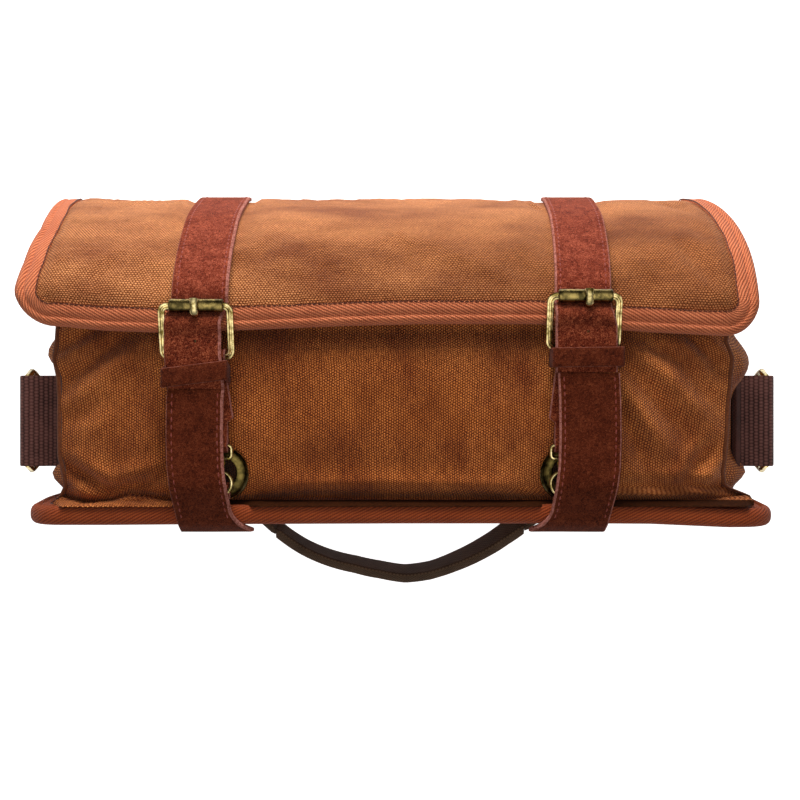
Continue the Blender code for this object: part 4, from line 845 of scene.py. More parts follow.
@dataclass
class PanelLine:
    """A panel's outer line in side view, from the hinge to its free edge."""

    points: np.ndarray
    turn: float
    edge_shift: float
    flare: float
    splay: float = 0.0
    wave_x: Sequence[float] = (0.0,)
    wave_y: Sequence[float] = (0.0,)
    hinge_shift: float = -0.0125
    wave_reach: float = 0.055
    pull_share: Sequence[float] = (0.0, 1.0)
    pull: Sequence[float] = (0.0, 0.0)
    half_width: float = 0.191

    def __post_init__(self) -> None:
        """Work out the distances and normals along the line."""
        self.marks = run_lengths(self.points)
        self.length = float(self.marks[-1])
        slope = directions(self.points, self.marks)
        self.normals = np.stack([slope[:, 1], -slope[:, 0]], axis=1) * self.turn
        self.normals[0] = (1.0, 0.0)

    def place(self, x: np.ndarray, mark: np.ndarray, depth: np.ndarray) -> np.ndarray:
        """Return world points at widths, distances from the hinge and depths under the skin."""
        x, mark, depth = np.broadcast_arrays(x, mark, depth)
        held = np.clip(mark, 0.0, self.length)
        y, z = (
            np.interp(held, self.marks, self.points[:, axis])
            - np.interp(held, self.marks, self.normals[:, axis]) * depth
            for axis in (0, 1)
        )
        share = held / self.length
        wide = x * self.widen(x, share) + self.shift(share)
        return np.stack([wide, y + self.wave(wide, held), z], axis=-1)

    def shift(self, share: np.ndarray) -> np.ndarray:
        """Return how far the panel's middle lies along X at shares of its length."""
        return self.hinge_shift + (self.edge_shift - self.hinge_shift) * share

    def widen(self, x: np.ndarray, share: np.ndarray) -> np.ndarray:
        """Return the factor on widths: flare and splay, less what draws the left side in."""
        wide = 1 + self.flare * np.sin(math.pi * share) + self.splay * share
        return np.where(x < 0, wide - np.interp(share, self.pull_share, self.pull) / self.half_width, wide)

    def wave(self, x: np.ndarray, mark: np.ndarray) -> np.ndarray:
        """Return how far the soft free edge strays in Y at world widths and distances from the hinge."""
        return np.interp(x, self.wave_x, self.wave_y) * smooth_step(1 - (self.length - mark) / self.wave_reach)

    def unplace(self, points: np.ndarray) -> tuple[np.ndarray, np.ndarray, np.ndarray]:
        """Return the width, the distance from the hinge and the depth of world points."""
        _, mark, _ = self.measure(points[:, 1:3])
        strays = self.wave(points[:, 0], mark)
        share, mark, depth = self.measure(points[:, 1:3] - np.stack([strays, np.zeros(len(points))], axis=1))
        off = points[:, 0] - self.shift(share)
        return off / self.widen(off, share), mark, depth

    def measure(self, flat: np.ndarray) -> tuple[np.ndarray, np.ndarray, np.ndarray]:
        """Return the share of the length, the distance from the hinge and the depth of (y, z) places."""
        best = np.full(len(flat), np.inf)
        mark = np.zeros(len(flat))
        depth = np.zeros(len(flat))
        for index in range(len(self.points) - 1):
            start, end = self.points[index], self.points[index + 1]
            step = end - start
            t = np.clip(((flat - start) @ step) / (step @ step), 0.0, 1.0)
            offset = flat - (start + t[:, None] * step)
            distance = np.linalg.norm(offset, axis=1)
            near = distance < best
            best[near] = distance[near]
            mark[near] = self.marks[index] + t[near] * np.linalg.norm(step)
            normal = self.normals[index] * (1 - t[near])[:, None] + self.normals[index + 1] * t[near][:, None]
            depth[near] = -np.einsum("ij,ij->i", offset[near], normal)
        return mark / self.length, mark, depth


def flap_line() -> PanelLine:
    """Return the flap's line: a soft quadrant up from the hinge, then flat over the front."""
    turns = np.linspace(0.0, math.pi / 2, 49)
    reach = 0.0675 * np.maximum(np.cos(turns), 0.0) ** (2 / 1.5)
    rise = 0.1115 * np.sin(turns) ** (2 / 1.5)
    points = np.stack([0.026 + reach, 0.0185 + rise], axis=1)
    flat = np.stack([np.linspace(0.026, 0.011, 6)[1:], np.full(5, FLAP_TOP)], axis=1)
    wave_x = (-0.190, -0.175, -0.153, -0.125, -0.078, -0.030, 0.010, 0.071, 0.100, 0.129, 0.150, 0.178)
    wave_y = (0.0016, 0.0010, -0.0012, -0.0022, -0.0008, 0.0012, 0.0022, 0.0022, 0.0000, -0.0020, -0.0030, -0.0044)
    share = (0.0, 0.10, 0.28, 0.36, 0.50, 0.64, 0.73, 0.80, 0.86, 1.0)
    pull = (0.0025, 0.0042, 0.0062, 0.0070, 0.0076, 0.0048, 0.0036, 0.0016, 0.0, 0.0)
    return PanelLine(np.vstack([points, flat]), 1.0, -0.0059, 0.02, 0.0, wave_x, wave_y, pull_share=share, pull=pull)


def shell_line() -> PanelLine:
    """Return the shell's line: under the hinge, along the back and up the handle side."""
    points = arc((0.075, 0.0185), 0.0185, 0.0, -90.0, 12)
    points += [(y, 0.0) for y in np.linspace(0.075, -0.075, 31)[1:-1]]
    points += arc((-0.075, 0.014), 0.014, -90.0, -180.0, 12)
    points += [(HANDLE_WALL_Y, z) for z in np.linspace(0.014, 0.125, 23)[1:]]
    wave_x = (-0.195, -0.150, -0.100, 0.000, 0.100, 0.130, 0.170, 0.195)
    wave_y = (-0.0020, -0.0020, -0.0016, -0.0012, -0.0012, -0.0014, -0.0032, -0.0030)
    return PanelLine(np.array(points), -1.0, 0.0010, 0.0, 0.026, wave_x, wave_y)


@dataclass
class PaddedPanel:
    """A padded panel of the roll: canvas over foam, a lining, and a twill tape round its edges."""

    name: str
    body: str
    line: PanelLine
    canvas: str
    slot: str
    half_width: float = 0.191
    thickness: float = 0.010
    tape: float = 0.0013
    leg: float = 0.0118
    corner: float = 0.018
    swell: float = 0.0
    tape_finish: str = "twill"
    pressed: Sequence[tuple[float, float, float]] = ()
    sunk: float = 0.0

    def marks(self, step: float) -> np.ndarray:
        """Return evenly spaced distances from the hinge."""
        return np.linspace(0.0, self.line.length, int(self.line.length / step) + 1)

    def edge_distance(self, x: np.ndarray, mark: np.ndarray) -> np.ndarray:
        """Return how far a place lies inside the panel's rounded free outline."""
        side = self.half_width - np.abs(x)
        front = self.line.length - mark
        inside = np.minimum(side, front)
        both = (side < self.corner) & (front < self.corner)
        round_edge = self.corner - np.hypot(self.corner - side, self.corner - front)
        return np.where(both, round_edge, inside)

    def pull_in(self, x: np.ndarray, mark: np.ndarray, inset: float) -> tuple[np.ndarray, np.ndarray]:
        """Move places of a square grid inside the panel's rounded corners.

        Args:
            x: Widths.
            mark: Distances from the hinge.
            inset: How far inside the outline the result stays.

        Returns:
            The new widths and distances.
        """
        radius = self.corner - inset
        half, stop = self.half_width - inset, self.line.length - inset
        cx, cm = half - radius, stop - radius
        dx, dm = np.abs(x) - cx, mark - cm
        both = (dx > 0) & (dm > 0)
        reach = np.hypot(dx, dm)
        square = np.maximum(dx, dm)
        scale = np.where(both & (reach > 0), square / np.maximum(reach, 1e-9), 1.0)
        return np.where(both, np.sign(x) * (cx + dx * scale), x), np.where(both, cm + dm * scale, mark)

    def build_pad(self, paint: Paint) -> None:
        """Make the canvas-covered pad, puffed by cloth simulation, with its edges held by the tape."""
        inset = self.tape + 0.0005
        half = self.half_width - inset
        xs = np.linspace(-half, half, 93)
        marks = np.linspace(0.00015, self.line.length - inset, int(self.line.length / 0.0042))
        x, mark = self.pull_in(*np.meshgrid(xs, marks), inset)
        edge = self.edge_distance(x, mark)
        rise = smooth_step((edge - self.leg) / 0.005)
        top = self.line.place(x, mark, 0.0024 - 0.0022 * rise)
        low = self.line.place(x, mark, 0.0079 + 0.0003 * rise)
        pad = two_faced(top, low, xs, marks).build(self.name + "_pad", [paint[self.canvas]])
        held = pad.vertex_groups.new(name="held")
        both_edges = np.concatenate([edge, edge[:, ::-1]], axis=1).ravel()
        from_hinge = np.concatenate([mark, mark[:, ::-1]], axis=1).ravel()
        lining_side = np.concatenate([np.zeros_like(edge), np.ones_like(edge)], axis=1).ravel()
        for index in np.nonzero((both_edges < 0.0125) | (from_hinge < 0.002) | (lining_side > 0.5))[0]:
            held.add([int(index)], 1.0, "REPLACE")
        puff(pad)
        self.hold_inside(pad)
        pad.vertex_groups.clear()
        settle(pad, self.body, [self.body + "_canvas", self.body + "_foam"])

    def hold_inside(self, pad: bpy.types.Object) -> None:
        """Keep the puffed pad between its lining and a small swell over its line, and add soft folds."""
        points = np.zeros(len(pad.data.vertices) * 3)
        pad.data.vertices.foreach_get("co", points)
        points = points.reshape(-1, 3)
        x, mark, depth = self.line.unplace(points)
        edge = self.edge_distance(x, mark)
        free = np.clip((edge - 0.012) / 0.006, 0.0, 1.0)
        outer = depth < 0.005
        folds = self.folds(points[:, 0], mark)
        slack = self.slack(points)
        low = self.near_hinge(mark)
        room = self.swell * slack * (1 - 0.8 * low)
        sink = self.sunk * low * np.clip((points[:, 0] + 0.09) / 0.04, 0.0, 1.0)
        wanted = np.where(outer, depth - (folds - sink) * free, depth)
        wanted = np.where(outer & (free > 0), np.clip(wanted, -room, 0.0024), wanted)
        if self.line.turn < 0:
            tucked = 0.0019 * np.clip((0.016 - mark) / 0.010, 0.0, 1.0)
            wanted = np.where(outer, np.maximum(wanted, tucked), wanted)
        if self.pressed:
            wanted = np.where(outer & (slack < 0.25), np.maximum(wanted, STRAP_PRESS * low), wanted)
        wanted = np.clip(wanted, -room, 0.0083)
        moved = self.line.place(x, np.maximum(mark, 0.00015), wanted)
        pad.data.vertices.foreach_set("co", moved.ravel())
        pad.data.update()

    def near_hinge(self, mark: np.ndarray) -> np.ndarray:
        """Return 1 near the hinge and 0 past the first half of the line."""
        return np.clip((0.46 - mark / self.line.length) / 0.2, 0.0, 1.0)

    def slack(self, points: np.ndarray) -> np.ndarray:
        """Return 0 where a strap presses the canvas down, little behind the handle, and 1 well away from both."""
        free = np.ones(len(points))
        for middle, top_middle, roller_y in self.pressed:
            share = (points[:, 1] - roller_y) / (HINGE_Y - roller_y)
            away = np.abs(points[:, 0] - middle - (top_middle - middle) * share)
            free = np.minimum(free, np.clip((away - 0.0165) / 0.016, 0.0, 1.0))
        if self.line.turn < 0:
            along_handle = np.clip((0.090 - np.abs(points[:, 0])) / 0.015, 0.0, 1.0)
            behind = along_handle * np.clip((0.022 - np.abs(points[:, 2] - 0.060)) / 0.010, 0.0, 1.0)
            free = free * (1 - 0.8 * behind)
        return free

    def folds(self, x: np.ndarray, mark: np.ndarray) -> np.ndarray:
        """Return the heights of the slack canvas's soft waves."""
        wide = noise_at(x * 17.0, mark * 22.0, self.line.turn * 3.1)
        return 0.0019 * wide + 0.0007 * noise_at(x * 42.0, mark * 55.0, self.line.turn * 7.7)

    def build_lining(self, paint: Paint) -> None:
        """Make the lining cloth on the panel's inner face."""
        inset = self.leg + 0.0012
        half = self.half_width - inset
        xs = np.linspace(-half, half, 40)
        marks = np.linspace(0.0002, self.line.length - inset, int(self.line.length / 0.006))
        x, mark = self.pull_in(*np.meshgrid(xs, marks), inset)
        low, top = (self.line.place(x, mark, np.full_like(x, depth)) for depth in (0.0086, 0.0097))
        cloth = two_faced(top, low, xs, marks).build(self.name + "_lining_cloth", [paint["lining"]])
        settle(cloth, self.body, [self.body + "_lining"])

    def stations(self) -> tuple[np.ndarray, np.ndarray, np.ndarray, np.ndarray]:
        """Return places round the free outline: width, mark, and the outward direction in the panel."""
        stop = self.line.length - self.corner
        marks = np.concatenate([[0.00015], np.arange(0.004, stop - 0.001, 0.003), [stop]])
        turns = np.radians(np.linspace(0.0, 90.0, 13)[1:])
        straight = np.arange(self.half_width - self.corner - 0.003, 0.0, -0.004)
        level, none = np.ones(len(straight)), np.zeros(len(marks))
        x = [none + self.half_width, self.half_width - self.corner + self.corner * np.cos(turns), straight]
        m = [marks, stop + self.corner * np.sin(turns), self.line.length * level]
        out, up = [none + 1, np.cos(turns), 0 * level], [none, np.sin(turns), level]
        right = [np.concatenate(part) for part in (x, m, out, up)]
        return tuple(np.concatenate([part, sign * part[::-1]]) for part, sign in zip(right, (-1, 1, -1, 1)))

    def tape_section(self) -> Section:
        """Return the tape's section: a flat leg, a sewn groove and a rolled bead, then the same below."""
        half = self.thickness / 2 - 0.00005
        leg = -self.leg
        top = [(leg, half - 0.0006), (leg + 0.0006, half - 0.0001), (leg + 0.003, half), (-0.0062, half - 0.0002)]
        top += [(-0.0054, half - 0.0010), (-0.0048, half - 0.0009), (-0.0040, half - 0.0001), (-0.0030, half)]
        top += [(-0.0019, half - 0.0004), (-0.0009, half - 0.0013), (-0.0002, half - 0.0027), (0.0, half - 0.0040)]
        bottom = [(a, -b) for a, b in reversed(top)]
        slot = half - self.tape
        inner = [(leg, -slot + 0.0002), (-0.0040, -slot), (-self.tape, -slot + 0.0012)]
        inner += [(-self.tape, slot - 0.0012), (-0.0040, slot), (leg, slot - 0.0002)]
        return top + bottom + inner

    def build_tape(self, paint: Paint) -> None:
        """Make the folded twill tape round the panel's free edges."""
        x, mark, out, forward = self.stations()
        section = self.tape_section()
        grid = np.zeros((len(x), len(section), 3))
        for column, (reach, rise) in enumerate(section):
            drawn = reach + (self.wander(x, mark) if reach < -0.0085 else 0.0)
            grid[:, column] = self.line.place(x + out * drawn, mark + forward * drawn, self.thickness / 2 - rise)
        edge = self.line.place(x, mark, np.full_like(x, self.thickness / 2))
        skin = Lattice(grid, round_lengths(section), run_lengths(edge), closed_columns=True)
        tape = skin.build(self.name + "_bound_tape", [paint[self.tape_finish]], 60.0)
        settle(tape, self.body, [self.body + "_tape"])

    def wander(self, x: np.ndarray, mark: np.ndarray) -> np.ndarray:
        """Return how far the tape's inner edge strays at places round the outline."""
        return 0.0008 * noise_at(x * 48.0, mark * 60.0, 5.0)

    def build_stitches(self, tree: StitchTree, paint: Paint) -> None:
        """Sew the tape down along its inner edge on each face."""
        x, mark, out, forward = self.stations()
        stray = self.wander(x, mark)
        lines = []
        for reach, depth in ((-self.leg, 0.0001), (-self.leg + 0.0016, self.thickness + 0.0001)):
            there = reach + stray
            lines.append(self.line.place(x + out * there, mark + forward * there, np.full_like(x, depth)))
        # Each stitch is longer than the pitch, so they run into one dark line: sewn thread, and painted shade along
        # the tape's inner edge.
        sewn = tree.sew(self.name + "_tape_stitches", lines, paint["dark_thread"], 0.0026, 0.0028, 0.0007)
        settle(sewn, self.body)

    def build(self, tree: StitchTree, paint: Paint) -> None:
        """Build the whole panel."""
        self.build_pad(paint)
        self.build_lining(paint)
        self.build_tape(paint)
        self.build_stitches(tree, paint)


def puff(piece: bpy.types.Object) -> None:
    """Swell a closed, slightly slack piece by cloth simulation, with its group "held" fixed, and apply the result."""
    scene = bpy.context.scene
    cloth = piece.modifiers.new("Cloth", "CLOTH")
    cloth.settings.quality = 4
    cloth.settings.use_pressure = True
    cloth.settings.uniform_pressure_force = 3.0
    cloth.settings.vertex_group_mass = "held"
    cloth.settings.shrink_min = -0.012
    cloth.settings.effector_weights.gravity = 0.0
    cloth.point_cache.frame_start = 1
    cloth.point_cache.frame_end = 20
    for frame in range(1, 21):
        scene.frame_set(frame)
    as_mesh(piece)
    scene.frame_set(1)


# The body under the flap


@dataclass(frozen=True)
class Crease:
    """A fold pressed into the front canvas, between two points seen from the front."""

    start: tuple[float, float]
    end: tuple[float, float]
    width: float
    depth: float

    def height(self, x: np.ndarray, y: np.ndarray) -> np.ndarray:
        """Return the fold's height at places: a valley with a low ridge on each side."""
        ax, ay = self.start
        bx, by = self.end
        dx, dy = bx - ax, by - ay
        t = np.clip(((x - ax) * dx + (y - ay) * dy) / (dx * dx + dy * dy), 0.0, 1.0)
        away = np.hypot(x - ax - t * dx, y - ay - t * dy) / self.width
        ends = np.sin(math.pi * np.clip(t, 0.04, 0.96)) ** 0.5
        return self.depth * ends * (-np.exp(-(away**2)) + 0.45 * np.exp(-((away - 1.9) ** 2)))


@dataclass
class FrontBody:
    """The brown canvas box under the flap: front, two ends and the tapes on their seams."""

    crest_y: float = -0.032
    mouth_y: float = 0.042
    top: float = 0.1225
    half_width: float = 0.181
    thickness: float = 0.0025
    end_drop: float = 0.009
    lip_y: float = -0.0812
    lip_z: float = 0.1263
    shelf_z: float = 0.1175
    creases: list[Crease] = field(default_factory=list)
    calm: Sequence[tuple[float, float]] = ()

    def half(self, y: np.ndarray, side: float) -> np.ndarray:
        """Return the half width at a place: pulled in behind the tabs, spread at the flange's corners."""
        places = (-0.0790, -0.0765, -0.0715, -0.0640, -0.0560, -0.0260, -0.0140, -0.0040, 0.0050, 0.0420)
        right = (0.1850, 0.1832, 0.1702, 0.1688, 0.1695, 0.1712, 0.1722, 0.1735, 0.1705, 0.1785)
        left = (0.1808, 0.1782, 0.1755, 0.1762, 0.1778, 0.1776, 0.1782, 0.1806, 0.1796, 0.1800)
        return np.interp(y, places, right if side > 0 else left)

    def height(self, y: np.ndarray) -> np.ndarray:
        """Return the front's height along the middle of the roll."""
        low = np.clip((self.crest_y - y) / (self.crest_y - WALL_Y), 0.0, 1.0)
        high = np.clip((y - self.crest_y) / (self.mouth_y - self.crest_y), 0.0, 1.0)
        return self.top - 0.009 * low**2.6 - 0.023 * high**3.0

    def valley(self, x: np.ndarray) -> np.ndarray:
        """Return where the puffed canvas meets the strip that is turned over the flange."""
        bends = (
            (-0.182, -0.0772), (-0.178, -0.0782), (-0.168, -0.0800), (-0.160, -0.0802), (-0.153, -0.0790),
            (-0.145, -0.0752), (-0.137, -0.0758), (-0.128, -0.0772), (-0.119, -0.0786), (-0.087, -0.0788),
            (-0.063, -0.0780), (-0.045, -0.0774), (0.000, -0.0782), (0.060, -0.0786), (0.105, -0.0780),
            (0.135, -0.0786), (0.160, -0.0782), (0.176, -0.0770), (0.184, -0.0760),
        )
        return np.interp(x, *zip(*bends))

    def near_ring(self, x: np.ndarray, inner: float, outer: float) -> np.ndarray:
        """Return 0 beside a ring and 1 away from both, by the distance along X."""
        free = np.ones_like(x)
        for middle_x, _ in self.calm:
            free *= np.clip((np.abs(x - middle_x) - inner) / (outer - inner), 0.0, 1.0)
        return free

    def lap(self, x: np.ndarray, y: np.ndarray, z: np.ndarray) -> np.ndarray:
        """Return heights with the low edge puffed, creased and turned up over the flange's inner rim."""
        line = self.valley(x)
        past = np.clip((y - line) / 0.022, 0.0, 1.0)
        ends = np.clip((self.half_width - np.abs(x)) / 0.010, 0.0, 1.0)
        body = z + 0.0030 * np.sin(math.pi * past**0.6) ** 2 * self.near_ring(x, 0.017, 0.026) * ends
        body = body - 0.0040 * np.exp(-(((y - line) / 0.0024) ** 2))
        floor = self.height(line) - 0.0040
        shelf = smooth_step((line - y) / 0.0020)
        climb = smooth_step((self.lip_y + 0.0026 - y) / 0.0022) * smooth_step(ends * 1.6)
        climb = climb * self.near_ring(x, 0.012, 0.017)
        strip = floor + (self.shelf_z - floor) * shelf
        strip = strip + (self.lip_z - strip) * climb
        return np.where(y >= line, body, strip)

    def surface(self, x: np.ndarray, y: np.ndarray) -> np.ndarray:
        """Return the front's height with its ends rounded down and its folds pressed in."""
        z = self.height(y) - self.end_drop * np.abs(x / self.half_width) ** 8
        bump = sum((fold.height(x, y) for fold in self.creases), np.zeros_like(x))
        for middle_x, middle_y in self.calm:
            bump *= np.clip((np.hypot(x - middle_x, y - middle_y) - 0.016) / 0.012, 0.0, 1.0)
        dip = 0.0055 * np.exp(-(((y - 0.0115) / 0.0062) ** 2)) * (1 - np.abs(x / self.half_width) ** 12)
        return z + bump - dip

    def build_front(self, paint: Paint) -> None:
        """Make the front canvas with its folds."""
        xs = np.linspace(-self.half_width, self.half_width, 241)
        over, strip = 5, 9
        low = np.linspace(0.0, 1.0, over)[:, None] * 0.0024 + self.lip_y
        line = np.maximum(self.valley(xs), self.lip_y + 0.0026)[None, :]
        shelf = low[-1:] + (line - low[-1:]) * np.linspace(0.0, 1.0, strip - over + 1)[1:, None]
        puffed = line + (-0.060 - line) * np.linspace(0.0, 1.0, 24)[1:, None]
        rest = np.linspace(-0.060, self.mouth_y, 70)[1:, None]
        y = np.vstack([row * np.ones_like(xs)[None, :] for row in (low, shelf, puffed, rest)])
        x = np.tile(xs, (len(y), 1))
        z = self.lap(x, y, self.surface(x, y))
        soft = noise_at(x * 22.0, y * 34.0, 2.0)
        rim = np.minimum(np.minimum(self.half_width - np.abs(x), y - self.lip_y), self.mouth_y - y)
        for middle_x, middle_y in self.calm:
            rim = np.minimum(rim, np.maximum(np.hypot(x - middle_x, y - middle_y) - 0.016, 0.0))
        z = z + 0.0009 * soft * np.clip(rim / 0.012, 0.0, 1.0)
        wide = np.where(x > 0, self.half(y, 1.0), self.half(y, -1.0)) / self.half_width
        top = np.stack([x * wide, y, z], axis=-1)
        marks = run_lengths(np.stack([z[:, 20], y[:, 20]], axis=1))
        first = int(np.argmax(xs > -0.119))
        skin = two_faced(top, top - np.array([0.0, 0.0, self.thickness]), xs, marks)
        # The turned-over strip's rows take the near-black canvas: painted shadow along the crease at the flange.
        skin.slots = lambda row, column: 1 if row < over and first <= column < len(xs) else 0
        front = skin.build("front_canvas", [paint["brown"], paint["crease"]])
        settle(front, "shell", ["front_panel"])

    def build_end(self, side: Side, paint: Paint) -> None:
        """Make one canvas end of the body."""
        sign = side.value
        along = np.linspace(0.0, 1.0, 40)
        up = np.linspace(0.0, 1.0, 36)
        a, u = np.meshgrid(along, up)
        start = WALL_Y + GAP
        foot_z = np.where(a < 0.06, 0.0140, 0.0103)
        foot_y = start + (0.075 - start) * a
        head_y = start + (self.mouth_y - start) * a
        head_z = self.height(head_y) - self.end_drop - self.thickness - 2 * GAP
        y = foot_y + (head_y - foot_y) * u
        z = foot_z + (head_z - foot_z) * u
        swell = 0.0014 * np.sin(math.pi * a) * np.sin(math.pi * u) ** 2
        bulges = {
            Side.LEFT: ((-0.0670, 0.0125, 0.0098), (-0.0030, 0.0170, 0.0090)),
            Side.RIGHT: ((-0.0660, 0.0115, 0.0090), (-0.0100, 0.0200, 0.0098)),
        }
        for middle, reach, rise in bulges[side]:
            beside = 0.5 + 0.5 * np.cos(math.pi * np.clip((head_y - middle) / reach, -1.0, 1.0))
            swell = swell + rise * beside * np.clip((u - 0.35) / 0.35, 0.0, 1.0) * np.clip((1.0 - u) / 0.12, 0.0, 1.0)
        shift = -0.0125 * (1 - u) ** 3 * (foot_y - WALL_Y) / (HINGE_Y - WALL_Y)
        wave = 0.0008 * noise_at(y * 30.0, z * 30.0, sign * 4.0) * np.sin(math.pi * a) * np.sin(math.pi * u)
        pull = (self.half(head_y, sign) - self.half_width) * smooth_step((u - 0.72) / 0.26)
        x = sign * (self.half_width - GAP + swell + pull) + shift
        outer = np.stack([x + sign * wave, y, z], axis=-1)
        inner = np.stack([x + sign * (wave - 0.002), y, z], axis=-1)
        end = two_faced(outer, inner, along * 0.13, up * 0.1).build(side.word + "_end_canvas", [paint["brown"]])
        settle(end, "shell", [side.word + "_gusset"])

    def bind(self, name: str, rows: Callable[[float, float], np.ndarray], along: np.ndarray, section: Section,
             finish: bpy.types.Material, node: str) -> None:
        """Make a tape whose section is carried along a seam, with its ends closed.

        Args:
            name: The piece's name.
            rows: The points along the seam for an offset outwards and one upwards.
            along: V along the seam.
            section: The tape's section, as such offsets.
            finish: Its material.
            node: The CAD node that it stands for.
        """
        grid = np.stack([rows(out, rise) for out, rise in section], axis=1)
        made = Lattice(grid, round_lengths(section), along, closed_columns=True, caps=False).build(name, [finish])
        turn_outwards(made.data, True)
        settle(made, "shell", [node])

    def build_seam_tape(self, side: Side, paint: Paint) -> None:
        """Make the tape that binds the seam between the front and one end."""
        ys = np.linspace(WALL_Y + GAP, self.mouth_y, 60)
        high = self.height(ys) - self.end_drop
        near = side.value * (self.half(ys, side.value) + GAP)
        section = [
            (0.0, -0.0075), (0.0, -0.0002), (0.0005, 0.0), (0.0015, 0.0001), (0.0025, -0.0006), (0.0028, -0.0018),
            (0.0026, -0.0040), (0.0028, -0.0068), (0.0022, -0.0075),
        ]
        word, sign = side.word, side.value
        self.bind(
            word + "_bound_seam", lambda out, rise: np.stack([near + sign * out, ys, high + rise], axis=-1),
            ys, section, paint["shadow"], word + "_seam_tape",
        )

    def build_mouth_tape(self, paint: Paint) -> None:
        """Make the tape on the front canvas's inner edge, under the flap."""
        xs = np.linspace(-self.half_width, self.half_width, 120)
        ys = np.full_like(xs, self.mouth_y)
        z = self.height(ys) - self.end_drop * np.abs(xs / self.half_width) ** 8
        section = [
            (0.0003, 0.0), (0.0025, 0.0), (0.0038, -0.0005), (0.0043, -0.00125), (0.0038, -0.0020),
            (0.0025, -0.0025), (0.0003, -0.0025),
        ]
        self.bind(
            "bound_mouth", lambda out, rise: np.stack([xs, ys + out, z + rise], axis=-1),
            xs + 1.0, section, paint["twill"], "mouth_tape",
        )

    def build(self, paint: Paint) -> None:
        """Build the whole body."""
        for side in Side:
            self.build_end(side, paint)
            self.build_seam_tape(side, paint)
        self.build_front(paint)
        self.build_mouth_tape(paint)


# Straps, buckles and hooks


